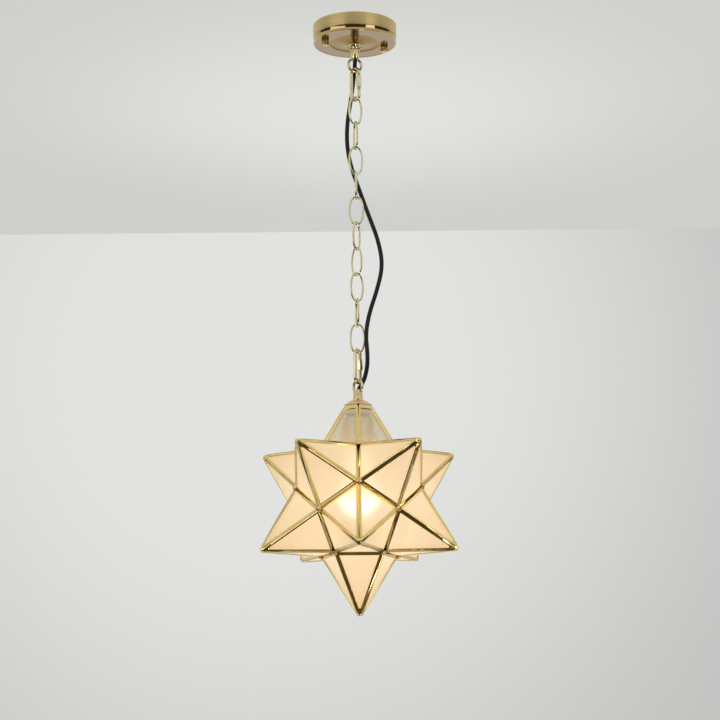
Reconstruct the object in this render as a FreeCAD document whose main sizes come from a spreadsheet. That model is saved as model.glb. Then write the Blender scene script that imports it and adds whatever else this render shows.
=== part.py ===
"""Star pendant: a glass and brass star lantern that hangs on a chain from a round ceiling canopy.

Millimetres. The origin is the centre of the canopy's ceiling face, +Z is up and the front is -Y.
"""
import FreeCAD, Part
import math
import os
import Sketcher

Vector = FreeCAD.Vector
Rotation = FreeCAD.Rotation
Placement = FreeCAD.Placement

DOC = FreeCAD.newDocument("star_pendant")
SHEET = DOC.addObject("Spreadsheet::Sheet", "sizes")

# alias: (value in millimetres, degrees or a count, what it measures)
DRIVING_SIZES = {
    # ceiling canopy
    "canopy_radius": (60.3, "outside radius of the canopy's side wall"),
    "canopy_side": (18.4, "height of the straight side wall"),
    "canopy_band": (7.8, "height of the polished band under the wall"),
    "canopy_band_inset": (1.0, "how far the band leans in"),
    "canopy_wall": (1.2, "thickness of the spun sheet"),
    "canopy_seat_radius": (37.0, "inner radius of the flat ring that the nuts sit on"),
    "canopy_crown": (3.0, "how far the middle of the canopy stands down"),
    "canopy_crown_radius": (9.0, "radius of the flat at the middle of the crown"),
    "crown_flare": (16.0, "radius where the crown's flare turns steep"),
    "crown_flare_drop": (1.2, "drop of the crown down to that flare"),
    # bracket and its fasteners
    "bracket_clearance": (5.1, "from the end of the crossbar to the canopy's wall"),
    "bracket_width": (18.0, "width of the crossbar"),
    "bracket_sheet": (2.5, "thickness of the crossbar"),
    "bracket_turn": (19.0, "turn of the crossbar about the vertical"),
    "slot_spacing": (34.0, "distance between the centres of the two box slots"),
    "slot_length": (12.0, "length of a box slot, end to end"),
    "slot_width": (5.0, "width of a box slot"),
    "box_hole_spacing": (60.0, "distance between the two box screw holes"),
    "box_hole_radius": (2.5, "radius of a box screw hole"),
    "stud_spacing": (90.0, "distance between the two canopy studs"),
    "stud_radius": (2.0, "radius of a canopy stud"),
    "stud_reach": (5.0, "length of a stud below the canopy's seat"),
    "thumb_radius": (5.5, "radius of a knurled thumb nut"),
    "thumb_length": (8.0, "height of a knurled thumb nut"),
    "thumb_neck": (1.6, "plain collar at each end of the nut"),
    "thumb_groove": (0.7, "depth of the knurl"),
    "thumb_flutes": (12, "number of flutes in the knurl"),
    "running_gap": (0.2, "clearance between parts that are assembled loosely"),
    # threaded tube through the canopy
    "tube_radius": (5.0, "radius of the threaded tubes"),
    "tube_bore": (3.5, "radius of the wire way through tubes and stems"),
    "canopy_tube_rise": (12.0, "length of the canopy tube above the crown"),
    "stem_thread": (6.0, "length of tube screwed into a stem"),
    "lock_nut_width": (12.0, "width of a lock nut across flats"),
    "lock_nut_height": (3.0, "height of a lock nut"),
    "terminal_length": (22.0, "length of the terminal block"),
    "terminal_width": (14.0, "width of the terminal block"),
    "terminal_height": (9.0, "height of the terminal block"),
    "terminal_hole": (1.6, "radius of a wire hole in the block"),
    "terminal_pitch": (7.0, "distance between wire holes"),
    # ring loops at both ends of the train
    "loop_wire": (3.7, "thickness of a loop's ring"),
    "loop_width": (23.5, "outside diameter of a loop's ring"),
    "collar_radius": (7.7, "radius of the upper stem's bead"),
    "collar_start": (5.3, "from the crown to the bead"),
    "collar_height": (3.5, "height of the bead"),
    "upper_stem_radius": (5.9, "radius of the upper stem"),
    "upper_stem": (20.8, "length of the upper stem"),
    "upper_loop_drop": (30.1, "from the crown to the centre of the upper ring"),
    "upper_loop_yaw": (20.0, "turn of the upper ring"),
    "lower_stem_radius": (6.7, "radius of the lower stem"),
    "lower_stem_flare": (8.0, "radius of the lower stem's foot"),
    "lower_stem": (15.5, "length of the lower stem"),
    "mouth_flare": (1.8, "countersink where the cord enters a stem"),
    "lower_loop_rise": (20.4, "from the cap's top to the centre of the lower ring"),
    "lower_loop_yaw": (-53.0, "turn of the lower ring"),
    # quick links
    "quick_wire": (4.8, "thickness of a quick link's wire"),
    "quick_length": (52.0, "outside length of a quick link"),
    "quick_width": (18.5, "outside width of a quick link"),
    "quick_gate": (9.0, "gap in the wire that the nut closes"),
    "quick_nut_radius": (3.9, "radius of the barrel nut across its corners"),
    "quick_nut_length": (16.0, "length of the barrel nut"),
    "quick_nut_rise": (3.0, "middle of the nut above the middle of the link"),
    "upper_quick_yaw": (-36.0, "turn of the upper quick link"),
    "lower_quick_yaw": (59.0, "turn of the lower quick link"),
    # chain
    "chain_wire": (2.9, "thickness of the chain's wire"),
    "chain_inner_length": (37.6, "inside length of a chain link"),
    "chain_width": (22.0, "outside width of a chain link"),
    "hang_gap": (0.4, "clearance where one link hangs on the next"),
    # star
    "star_radius": (157.0, "from the star's centre to the tips"),
    "core_share": (0.593, "distance of the valley corners from the centre, against the star's radius"),
    "tip_cut": (6.0, "how much shorter a tip is than its sharp point would be"),
    "neck_level": (135.0, "height of the neck above the star's centre"),
    "neck_radius": (20.0, "radius to the corners of the neck"),
    "came_depth": (4.0, "depth of a came behind its outer face"),
    "came_face": (4.2, "width of a came's face"),
    "came_web": (0.8, "thickness of a came's outer wall"),
    "came_lip": (0.9, "thickness of a came's lips over the glass"),
    "glass_thickness": (2.0, "thickness of a pane"),
    "glass_gap": (0.1, "clearance of a pane in its came"),
    "came_head": (6.5, "width of a came's face at the tip end"),
    "tip_length": (3.0, "length of the solder tip"),
    "tip_blunt": (0.62, "width of the tip's end against its foot"),
    "door_gap": (0.3, "clearance around the hinged point"),
    "hinge_radius": (1.6, "radius of the hinge barrels"),
    "hinge_pin": (0.7, "radius of the hinge pin"),
    "hinge_length": (36.0, "length of the whole hinge"),
    "hinge_knuckle": (12.0, "length of the middle barrel"),
    # cap and lamp
    "cap_height": (7.0, "rise of the cap over the neck"),
    "cap_sheet": (1.0, "thickness of the cap"),
    "cap_overhang": (0.8, "how far the cap stands out over the neck"),
    "cap_flat_radius": (10.0, "radius to the corners of the cap's top"),
    "cup_clearance": (1.8, "between the lamp cup and the cames around it"),
    "cup_shoulder_drop": (8.0, "height of the cup's shoulder"),
    "cup_height": (50.0, "height of the lamp cup"),
    "cup_wall": (1.0, "thickness of the lamp cup"),
    "cup_level": (117.0, "top of the cup above the star's centre"),
    "holder_height": (40.0, "height of the lamp holder"),
    "holder_floor": (12.0, "thickness of the holder above its socket"),
    "socket_radius": (13.9, "inside radius of the threaded shell"),
    "socket_wall": (0.4, "thickness of the threaded shell"),
    "contact_radius": (3.0, "radius of the centre contact"),
    "contact_height": (2.0, "height of the centre contact"),
    # bulb
    "bulb_base_radius": (13.3, "radius of the bulb's screw base"),
    "bulb_base_height": (24.0, "height of the bulb's screw base"),
    "bulb_radius": (30.0, "radius of the bulb's globe"),
    "bulb_neck": (8.0, "height of the straight glass under the base"),
    "bulb_base_taper": (5.0, "height of the base's tapered end"),
    "bulb_length": (96.0, "length of the bulb's glass"),
    "bulb_wall": (1.0, "thickness of the bulb's glass and of its screw base"),
    "bulb_seat": (0.3, "gap between the bulb and the contact"),
    # power cord
    "cord_radius": (3.0, "radius of the power cord"),
}

CHAIN_YAWS = [25.0, -76.0, 15.0, 88.0, 0.0, 62.0, -45.0, 30.0, -80.0, 0.0]
WIRE_SIDES = 8
CHAIN_BEND_STEPS = 6
QUICK_BEND_STEPS = 8
RING_STEPS = 20
CORD_SIDES = 8
ROUND_SIDES = 24
CANOPY_SIDES = 44
SMALL_SIDES = 12

# The cord's route from the upper stem to the lower one, as x, y, z.
CORD_ROUTE = [
    (0.0, 0.0, -46.0),
    (0.0, 0.3, -52.0),
    (-0.3, 3.0, -58.0),
    (-0.9, 8.3, -64.5),
    (-1.8, 10.0, -73.0),
    (-3.4, 11.3, -88.0),
    (-7.6, 11.8, -114.0),
    (-12.4, 11.4, -146.0),
    (-12.6, 13.4, -178.0),
    (-6.8, 16.4, -208.0),
    (3.5, 17.5, -238.0),
    (17.0, 14.5, -278.0),
    (31.0, 9.0, -318.0),
    (37.0, 4.0, -356.0),
    (28.5, 1.0, -392.0),
    (16.5, -2.5, -428.0),
    (11.6, -6.5, -458.0),
    (13.6, -7.2, -481.0),
    (14.0, -6.2, -499.0),
    (11.2, -3.0, -515.0),
    (6.2, -0.9, -527.5),
    (0.7, 0.0, -534.8),
    (0.0, 0.0, -541.0),
]


class Size:
    """A length with its value and the expression that gives it from the sheet's cells."""

    def __init__(self, value, text):
        self.value = value
        self.text = text

    def __add__(self, other):
        other = as_size(other)
        return Size(self.value + other.value, "(%s + %s)" % (self.text, other.text))

    def __sub__(self, other):
        other = as_size(other)
        return Size(self.value - other.value, "(%s - %s)" % (self.text, other.text))

    def __mul__(self, other):
        other = as_size(other)
        return Size(self.value * other.value, "(%s * %s)" % (self.text, other.text))

    def __truediv__(self, other):
        other = as_size(other)
        return Size(self.value / other.value, "(%s / %s)" % (self.text, other.text))

    def __neg__(self):
        return Size(-self.value, "(-1 * %s)" % self.text)

    __radd__ = __add__
    __rmul__ = __mul__


def as_size(number):
    if isinstance(number, Size):
        return number
    return Size(float(number), repr(float(number)))


def fill_sheet():
    """Write the driving sizes into the sheet, one row each, and return them by alias."""
    found = {}
    for row, (alias, (value, meaning)) in enumerate(DRIVING_SIZES.items(), start=1):
        SHEET.set("A%d" % row, str(value))
        SHEET.setAlias("A%d" % row, alias)
        SHEET.set("B%d" % row, meaning)
    DOC.recompute()
    for alias in DRIVING_SIZES:
        found[alias] = Size(float(SHEET.get(alias)), "sizes." + alias)
    return found


S = fill_sheet()

# Heights that follow from the sizes.
HALF = 0.5
NUT_SEAT_Z = -(S["canopy_side"] + S["canopy_band"])
CROWN_Z = NUT_SEAT_Z - S["canopy_crown"]
UPPER_RING_Z = CROWN_Z - S["upper_loop_drop"]
LOOP_INNER = S["loop_width"] * HALF - S["loop_wire"]
UPPER_HANG_Z = UPPER_RING_Z - LOOP_INNER
UPPER_QUICK_Z = UPPER_HANG_Z + S["hang_gap"] + S["quick_wire"] - S["quick_length"] * HALF
QUICK_INNER = S["quick_length"] * HALF - S["quick_wire"]
CHAIN_INNER = S["chain_inner_length"] * HALF
FIRST_LINK_Z = UPPER_QUICK_Z - QUICK_INNER + S["hang_gap"] - CHAIN_INNER
CHAIN_PITCH = S["chain_inner_length"] - S["hang_gap"]
LAST_LINK_Z = FIRST_LINK_Z - CHAIN_PITCH * (len(CHAIN_YAWS) - 1)
LOWER_QUICK_Z = LAST_LINK_Z - CHAIN_INNER + S["hang_gap"] - QUICK_INNER
LOWER_RING_Z = LOWER_QUICK_Z - QUICK_INNER + S["hang_gap"] - LOOP_INNER
CAP_TOP_Z = LOWER_RING_Z - S["lower_loop_rise"]
STAR_Z = CAP_TOP_Z - S["cap_height"] - S["neck_level"]
CUP_TOP_Z = STAR_Z + S["cup_level"]
HOLDER_TOP_Z = CUP_TOP_Z - S["cup_wall"]
HOLDER_FLOOR_Z = HOLDER_TOP_Z - S["holder_floor"]
BULB_TOP_Z = HOLDER_FLOOR_Z - S["contact_height"] - S["bulb_seat"]
BULB_GLASS_Z = BULB_TOP_Z - S["bulb_base_height"]


# --- helpers for document objects ---

def bind(item, name, size):
    """Set a property and tie it to the sheet."""
    size = as_size(size)
    item.setExpression(name, size.text)


def origin_plane(body, role):
    for feature in body.Origin.OriginFeatures:
        if feature.Role == role:
            return feature
    raise ValueError("no plane " + role)


def new_body(label):
    body = DOC.addObject("PartDesign::Body", label)
    body.Label = label
    return body


def new_sketch(body, name, role):
    sketch = body.newObject("Sketcher::SketchObject", body.Label + "_" + name)
    sketch.AttachmentSupport = [(origin_plane(body, role), "")]
    sketch.MapMode = "FlatFace"
    return sketch


def tie_point(sketch, edge, end, axis, size):
    """Hold one end of an edge at a signed distance from the sketch's origin."""
    size = as_size(size)
    index = sketch.addConstraint(Sketcher.Constraint(axis, -1, 1, edge, end, size.value))
    sketch.setExpression("Constraints[%d]" % index, size.text)


def outline(sketch, points):
    """A closed outline of straight edges through points whose two coordinates are sizes."""
    points = [(as_size(a), as_size(b)) for a, b in points]
    count = len(points)
    edges = []
    for index in range(count):
        start = points[index]
        end = points[(index + 1) % count]
        line = Part.LineSegment(Vector(start[0].value, start[1].value, 0),
                                Vector(end[0].value, end[1].value, 0))
        edges.append(sketch.addGeometry(line, False))
    for index in range(count):
        sketch.addConstraint(Sketcher.Constraint("Coincident", edges[index], 2,
                                                 edges[(index + 1) % count], 1))
    for index, (across, along) in enumerate(points):
        tie_point(sketch, edges[index], 1, "DistanceX", across)
        tie_point(sketch, edges[index], 1, "DistanceY", along)


def circle(sketch, across, along, radius):
    """A circle whose centre and radius are sizes."""
    across = as_size(across)
    along = as_size(along)
    radius = as_size(radius)
    edge = sketch.addGeometry(Part.Circle(Vector(across.value, along.value, 0), Vector(0, 0, 1),
                                          radius.value), False)
    index = sketch.addConstraint(Sketcher.Constraint("Radius", edge, radius.value))
    sketch.setExpression("Constraints[%d]" % index, radius.text)
    tie_point(sketch, edge, 3, "DistanceX", across)
    tie_point(sketch, edge, 3, "DistanceY", along)


def drill(body, name, spacing, radius):
    """Two round holes through the whole body, a spacing apart along its X axis."""
    sketch = new_sketch(body, name, "XY_Plane")
    for sign in (-1, 1):
        circle(sketch, spacing * HALF * sign, as_size(0), radius)
    cut = body.newObject("PartDesign::Pocket", body.Label + "_" + name + "_cut")
    cut.Profile = sketch
    cut.Type = "ThroughAll"
    cut.Midplane = True
    body.Tip = cut


def solid_part(label, shape, placement=None):
    """A sub-part whose solid is worked out here from the sheet's sizes."""
    part = DOC.addObject("Part::Feature", label)
    part.Label = label
    part.Shape = shape
    if placement is not None:
        part.Placement = placement
    return part


def lift(item, height, yaw=None):
    """Place a document object at a height on the axis, turned about the vertical."""
    bind(item, "Placement.Base.z", height)
    if yaw is not None:
        bind(item, "Placement.Rotation.Yaw", yaw)


def level(size):
    return Vector(0, 0, size.value)


def ring_of_corners(radius, height, sides, first=0.0):
    """Corners of a level regular polygon. first is the angle of its first corner in degrees."""
    corners = []
    for index in range(sides):
        angle = math.radians(first + 360.0 * index / sides)
        corners.append(Vector(radius * math.cos(angle), radius * math.sin(angle), height))
    return corners


def face_of(corners):
    return Part.Face(Part.makePolygon(corners + corners[:1]))


def stack(levels):
    """The solid through a stack of outlines that have the same number of corners."""
    faces = [face_of(levels[0]), face_of(levels[-1])]
    count = len(levels[0])
    for low, high in zip(levels[:-1], levels[1:]):
        for index in range(count):
            after = (index + 1) % count
            faces.append(face_of([low[index], low[after], high[after], high[index]]))
    solid = Part.makeSolid(Part.makeShell(faces))
    if solid.Volume < 0:
        solid.reverse()
    return solid


def many_sided(profile, sides):
    """A round piece with a flat facet for each side, from radii and heights."""
    return stack([ring_of_corners(as_size(radius).value, as_size(height).value, sides)
                  for radius, height in profile])


# --- canopy and its fasteners ---

def canopy_shell():
    """The spun cover: side wall, polished band, flat seat and a crown that flares to the stem."""
    radius = S["canopy_radius"]
    wall = S["canopy_wall"]
    seat_edge = radius - S["canopy_band_inset"]
    side_z = -S["canopy_side"]
    crown = S["canopy_crown_radius"]
    outside = many_sided([
        (crown, CROWN_Z),
        (S["crown_flare"], NUT_SEAT_Z - S["crown_flare_drop"]),
        (S["canopy_seat_radius"], NUT_SEAT_Z),
        (seat_edge, NUT_SEAT_Z),
        (radius, side_z),
        (radius, 0),
    ], CANOPY_SIDES)
    inside = many_sided([
        (crown - wall, CROWN_Z + wall),
        (S["crown_flare"] - wall * HALF, NUT_SEAT_Z - S["crown_flare_drop"] + wall),
        (S["canopy_seat_radius"] - wall * HALF, NUT_SEAT_Z + wall),
        (seat_edge - wall, NUT_SEAT_Z + wall),
        (radius - wall, side_z),
        (radius - wall, 0),
    ], CANOPY_SIDES)
    entry_radius = S["tube_radius"] + S["running_gap"]
    entry = many_sided([(entry_radius, CROWN_Z), (entry_radius, CROWN_Z + wall)], SMALL_SIDES)
    hole_radius = S["stud_radius"] + S["running_gap"]
    hole = many_sided([(hole_radius, -wall), (hole_radius, wall * 2)], SMALL_SIDES)
    shell = outside.cut(inside).cut(entry).cut(Part.makeCompound(at_studs(hole, NUT_SEAT_Z)))
    solid_part("canopy_shell", shell)


def mounting_bracket():
    """The crossbar that is screwed to the ceiling box: two slots, two round holes and the studs' holes."""
    body = new_body("mounting_bracket")
    sketch = new_sketch(body, "plate", "XY_Plane")
    end = S["canopy_radius"] - S["canopy_wall"] - S["bracket_clearance"]
    side = S["bracket_width"] * HALF
    outline(sketch, [(-end, -side), (end, -side), (end, side), (-end, side)])
    pad = body.newObject("PartDesign::Pad", "mounting_bracket_pad")
    pad.Profile = sketch
    bind(pad, "Length", S["bracket_sheet"])
    pad.Reversed = True
    body.Tip = pad
    slots = new_sketch(body, "slots", "XY_Plane")
    half_long = S["slot_length"] * HALF
    half_wide = S["slot_width"] * HALF
    for sign in (-1, 1):
        middle = S["slot_spacing"] * HALF * sign
        slot_outline(slots, middle, half_long, half_wide)
    cut = body.newObject("PartDesign::Pocket", "mounting_bracket_slot_cut")
    cut.Profile = slots
    cut.Type = "ThroughAll"
    cut.Midplane = True
    body.Tip = cut
    drill(body, "box_holes", S["box_hole_spacing"], S["box_hole_radius"])
    drill(body, "stud_holes", S["stud_spacing"], S["stud_radius"])
    lift(body, as_size(0), S["bracket_turn"])


def slot_outline(sketch, middle, half_long, half_wide):
    """A slot along the sketch's X axis: two straight sides joined by half circles."""
    left = middle - (half_long - half_wide)
    right = middle + (half_long - half_wide)
    top = sketch.addGeometry(Part.LineSegment(Vector(left.value, half_wide.value, 0),
                                              Vector(right.value, half_wide.value, 0)), False)
    low = sketch.addGeometry(Part.LineSegment(Vector(left.value, -half_wide.value, 0),
                                              Vector(right.value, -half_wide.value, 0)), False)
    quarter = math.pi / 2
    right_arc = sketch.addGeometry(Part.ArcOfCircle(Part.Circle(Vector(right.value, 0, 0), Vector(0, 0, 1),
                                                    half_wide.value), -quarter, quarter), False)
    left_arc = sketch.addGeometry(Part.ArcOfCircle(Part.Circle(Vector(left.value, 0, 0), Vector(0, 0, 1),
                                                   half_wide.value), quarter, 3 * quarter), False)
    sketch.addConstraint(Sketcher.Constraint("Coincident", right_arc, 1, low, 2))
    sketch.addConstraint(Sketcher.Constraint("Coincident", right_arc, 2, top, 2))
    sketch.addConstraint(Sketcher.Constraint("Coincident", left_arc, 1, top, 1))
    sketch.addConstraint(Sketcher.Constraint("Coincident", left_arc, 2, low, 1))
    tie_point(sketch, top, 1, "DistanceX", left)
    tie_point(sketch, top, 1, "DistanceY", half_wide)
    tie_point(sketch, top, 2, "DistanceX", right)
    tie_point(sketch, top, 2, "DistanceY", half_wide)
    tie_point(sketch, low, 1, "DistanceX", left)
    tie_point(sketch, low, 1, "DistanceY", -half_wide)
    tie_point(sketch, low, 2, "DistanceX", right)
    tie_point(sketch, low, 2, "DistanceY", -half_wide)
    tie_point(sketch, right_arc, 3, "DistanceX", right)
    tie_point(sketch, left_arc, 3, "DistanceX", left)


def stud_shape():
    """A canopy stud: from inside the crossbar down through the canopy's seat into the nut."""
    length = -NUT_SEAT_Z + S["stud_reach"]
    return many_sided([(S["stud_radius"], -length), (S["stud_radius"], 0)], SMALL_SIDES)


def thumb_nut_shape():
    """A thumb nut: a fluted barrel with a plain collar at each end, blind from above."""
    radius = S["thumb_radius"].value
    length = S["thumb_length"].value
    neck = S["thumb_neck"].value
    groove = S["thumb_groove"].value
    flutes = int(S["thumb_flutes"].value)
    collar = radius - groove
    knurl = []
    for index in range(2 * flutes):
        reach = radius if index % 2 else collar
        angle = math.pi * index / flutes
        knurl.append(Vector(reach * math.cos(angle), reach * math.sin(angle), -neck))
    barrel = face_of(knurl).extrude(Vector(0, 0, -(length - 2 * neck)))
    top = many_sided([(collar, -neck), (collar, 0)], 2 * flutes)
    foot = many_sided([(collar - groove, -length), (collar, neck - length)], 2 * flutes)
    hole = many_sided([(S["stud_radius"], -S["stud_reach"]), (S["stud_radius"], 0)], SMALL_SIDES)
    return barrel.fuse([top, foot]).cut(hole).removeSplitter()


def at_studs(shape, height):
    """Copies of a small piece at both studs, at one height."""
    copies = []
    for sign in (-1, 1):
        spot = Rotation(Vector(0, 0, 1), S["bracket_turn"].value).multVec(
            Vector(sign * S["stud_spacing"].value / 2, 0, height.value))
        copy = shape.copy()
        copy.translate(spot)
        copies.append(copy)
    return copies


def nut_solid(face_z):
    """A hexagon nut on a threaded tube, its lower face at face_z."""
    corner = S["lock_nut_width"].value / math.sqrt(3.0)
    top_z = (face_z + S["lock_nut_height"]).value
    blank = stack([ring_of_corners(corner, face_z.value, 6), ring_of_corners(corner, top_z, 6)])
    hole = many_sided([(S["tube_radius"], face_z), (S["tube_radius"], top_z)], SMALL_SIDES)
    return blank.cut(hole)


def lock_nuts(label, *faces_z):
    solid_part(label, Part.makeCompound([nut_solid(face_z) for face_z in faces_z]))


def prism(name, sides, radius, height):
    """A prism whose corners lie on a circle, tied to the sheet."""
    item = DOC.addObject("Part::Prism", name)
    item.Polygon = sides
    bind(item, "Circumradius", radius)
    bind(item, "Height", height)
    return item


def difference(label, base, tool):
    item = DOC.addObject("Part::Cut", label)
    item.Label = label
    item.Base = base
    item.Tool = tool
    return item


def tube(label, top_z, foot_z):
    """A threaded tube with the wire way through it."""
    length = top_z - foot_z
    outside = prism(label + "_outside", SMALL_SIDES, S["tube_radius"], length)
    wire_way = prism(label + "_wire_way", SMALL_SIDES, S["tube_bore"], length)
    lift(difference(label, outside, wire_way), foot_z)


def terminal_block():
    """The block that joins the lamp's wires to the supply, under the crossbar."""
    block = DOC.addObject("Part::Box", "terminal_blank")
    bind(block, "Length", S["terminal_length"])
    bind(block, "Width", S["terminal_width"])
    bind(block, "Height", S["terminal_height"])
    holes = []
    for index in range(3):
        hole = prism("terminal_hole_%d" % (index + 1), 8, S["terminal_hole"], S["terminal_width"])
        hole.Placement = Placement(Vector(0, 0, 0), Rotation(Vector(1, 0, 0), -90))
        bind(hole, "Placement.Base.x", S["terminal_length"] * HALF + S["terminal_pitch"] * (index - 1))
        bind(hole, "Placement.Base.z", S["terminal_height"] * HALF)
        holes.append(hole)
    cutters = DOC.addObject("Part::MultiFuse", "terminal_holes")
    cutters.Shapes = holes
    part = difference("terminal_block", block, cutters)
    bind(part, "Placement.Base.x", -(S["terminal_length"] * HALF))
    bind(part, "Placement.Base.y", -(S["terminal_width"] * HALF))
    bind(part, "Placement.Base.z", -(S["bracket_sheet"] + S["terminal_height"]))


# --- wire pieces ---

def wire_ring(path, radius, sides):
    """A round wire bent along a closed flat path in the XZ plane, with flats where it is bent."""
    count = len(path)
    sections = []
    for index in range(count):
        back = (path[index] - path[index - 1]).normalize()
        ahead = (path[(index + 1) % count] - path[index]).normalize()
        mitre = (back + ahead).normalize()
        stretch = 1.0 / mitre.dot(ahead)
        out = Vector(mitre.z, 0, -mitre.x)
        ring = []
        for side in range(sides):
            angle = 2 * math.pi * (side + 0.5) / sides
            ring.append(path[index] + out * (radius * math.cos(angle) * stretch)
                        + Vector(0, radius * math.sin(angle), 0))
        sections.append(ring)
    faces = []
    for index in range(count):
        near = sections[index]
        far = sections[(index + 1) % count]
        for side in range(sides):
            after = (side + 1) % sides
            faces.append(face_of([near[side], near[after], far[after], far[side]]))
    solid = Part.makeSolid(Part.makeShell(faces))
    if solid.Volume < 0:
        solid.reverse()
    return solid


def stadium(half_length, half_width, steps):
    """Centre line of a link: two straight sides and two half circles, upright in XZ."""
    straight = half_length - half_width
    points = []
    for end, lift_by in ((1, straight), (-1, -straight)):
        for step in range(steps + 1):
            angle = math.pi * step / steps
            points.append(Vector(end * half_width * math.cos(angle), 0,
                                 lift_by + end * half_width * math.sin(angle)))
    return points


def circle_path(radius, steps):
    points = []
    for step in range(steps):
        angle = 2 * math.pi * step / steps
        points.append(Vector(radius * math.cos(angle), 0, radius * math.sin(angle)))
    return points


def upright(height, yaw):
    return Placement(level(height), Rotation(Vector(0, 0, 1), yaw.value if isinstance(yaw, Size) else yaw))


def chain_link(number, yaw):
    """One oval link of the chain."""
    wire = S["chain_wire"].value
    half_length = S["chain_inner_length"].value / 2 + wire / 2
    half_width = (S["chain_width"].value - wire) / 2
    shape = wire_ring(stadium(half_length, half_width, CHAIN_BEND_STEPS), wire / 2, WIRE_SIDES)
    height = FIRST_LINK_Z - CHAIN_PITCH * (number - 1)
    solid_part("chain_link_%02d" % number, shape, upright(height, yaw))


def quick_link(label, height, yaw):
    """A quick link: a long wire loop that is open on one side, where the barrel nut closes it."""
    wire = S["quick_wire"].value
    half_length = (S["quick_length"].value - wire) / 2
    half_width = (S["quick_width"].value - wire) / 2
    loop = wire_ring(stadium(half_length, half_width, QUICK_BEND_STEPS), wire / 2, WIRE_SIDES)
    gate = S["quick_gate"].value
    gate_z = S["quick_nut_rise"].value
    gap = Part.makeBox(2 * wire, 2 * wire, gate,
                       Vector(half_width - wire, -wire, gate_z - gate / 2))
    solid_part(label, loop.cut(gap), upright(height, yaw))


def quick_nut(label, height, yaw):
    """The hexagonal barrel nut of a quick link, on the leg that is open."""
    wire = S["quick_wire"].value
    half_width = (S["quick_width"].value - wire) / 2
    length = S["quick_nut_length"].value
    foot = S["quick_nut_rise"].value - length / 2
    corner = S["quick_nut_radius"].value
    hexagon = [Vector(half_width + corner * math.cos(math.pi * k / 3),
                      corner * math.sin(math.pi * k / 3), foot) for k in range(6)]
    barrel = face_of(hexagon).extrude(Vector(0, 0, length))
    bore_radius = wire / 2 + S["running_gap"].value
    bore = many_sided([(bore_radius, foot), (bore_radius, foot + length)], SMALL_SIDES)
    bore.translate(Vector(half_width, 0, 0))
    solid_part(label, barrel.cut(bore), upright(height, yaw))


def ring_loop(label, stem_profile, ring_z, yaw, socket_z, bore):
    """A ring cast in one piece with its stem, with a threaded socket and a wire way bored through."""
    wire = S["loop_wire"].value
    middle = (S["loop_width"].value - wire) / 2
    ring = wire_ring(circle_path(middle, RING_STEPS), wire / 2, WIRE_SIDES)
    ring.Placement = upright(ring_z, yaw)
    stem = many_sided(stem_profile, ROUND_SIDES)
    socket = many_sided([(S["tube_radius"], socket_z), (S["tube_radius"], socket_z + S["stem_thread"])],
                        SMALL_SIDES)
    cast = stem.fuse(ring)
    for cutter in [socket, many_sided(bore, SMALL_SIDES * 2)]:
        cast = cast.cut(cutter)
    solid_part(label, cast.removeSplitter())


def upper_loop():
    """The upper ring loop: collar bead, stem and ring, screwed on the canopy's tube."""
    stem = S["upper_stem_radius"]
    bead = S["collar_radius"]
    bead_top = CROWN_Z - S["collar_start"]
    bead_foot = bead_top - S["collar_height"]
    swell = (bead - stem) * HALF
    foot = CROWN_Z - S["upper_stem"]
    profile = [
        (stem, foot),
        (stem, bead_foot),
        (bead, bead_foot + swell),
        (bead, bead_top - swell),
        (stem, bead_top),
        (S["canopy_crown_radius"], CROWN_Z),
    ]
    ring_crown = UPPER_RING_Z + LOOP_INNER
    way = S["tube_bore"]
    bore = [
        (way + S["mouth_flare"], ring_crown - S["mouth_flare"]),
        (way, ring_crown),
        (way, CROWN_Z),
    ]
    ring_loop("upper_loop", profile, UPPER_RING_Z, S["upper_loop_yaw"], CROWN_Z - S["stem_thread"], bore)


def lower_loop():
    """The lower ring loop: ring, stem and flared foot that stands on the cap."""
    stem = S["lower_stem_radius"]
    flare = S["lower_stem_flare"]
    top = CAP_TOP_Z + S["lower_stem"]
    profile = [
        (flare, CAP_TOP_Z),
        (flare, CAP_TOP_Z + (flare - stem)),
        (stem, CAP_TOP_Z + (flare - stem) * 2),
        (stem, top),
    ]
    way = S["tube_bore"]
    bore = [
        (way, CAP_TOP_Z),
        (way, top - S["mouth_flare"]),
        (way + S["mouth_flare"], top),
        (way + S["mouth_flare"], LOWER_RING_Z),
    ]
    ring_loop("lower_loop", profile, LOWER_RING_Z, S["lower_loop_yaw"], CAP_TOP_Z, bore)


# --- star ---

PENTAGON_START = 126.0                    # a corner's angle, so that a flat side faces the back
CORE_LEVEL = math.sqrt((5 + 2 * math.sqrt(5.0)) / 15)    # height of a foot, against its corners' distance
CORE_CORNER = math.sqrt((10 - 2 * math.sqrt(5.0)) / 15)  # radius to a foot's corners, the same way
CORE_RADIUS = S["star_radius"] * S["core_share"]


def foot_corners():
    """The five corners of a point's foot, with the point's axis along +Z and the star's centre at 0."""
    core = CORE_RADIUS.value
    return ring_of_corners(core * CORE_CORNER, core * CORE_LEVEL, 5, PENTAGON_START)


def sharp_tip():
    """Where the ridges of a point would meet."""
    return level(S["star_radius"] + S["tip_cut"])


def shrink(corners, factor):
    return [corner * factor for corner in corners]


def plane_distance(corners):
    normal = (corners[1] - corners[0]).cross(corners[2] - corners[0]).normalize()
    return abs(normal.dot(corners[0]))


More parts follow.
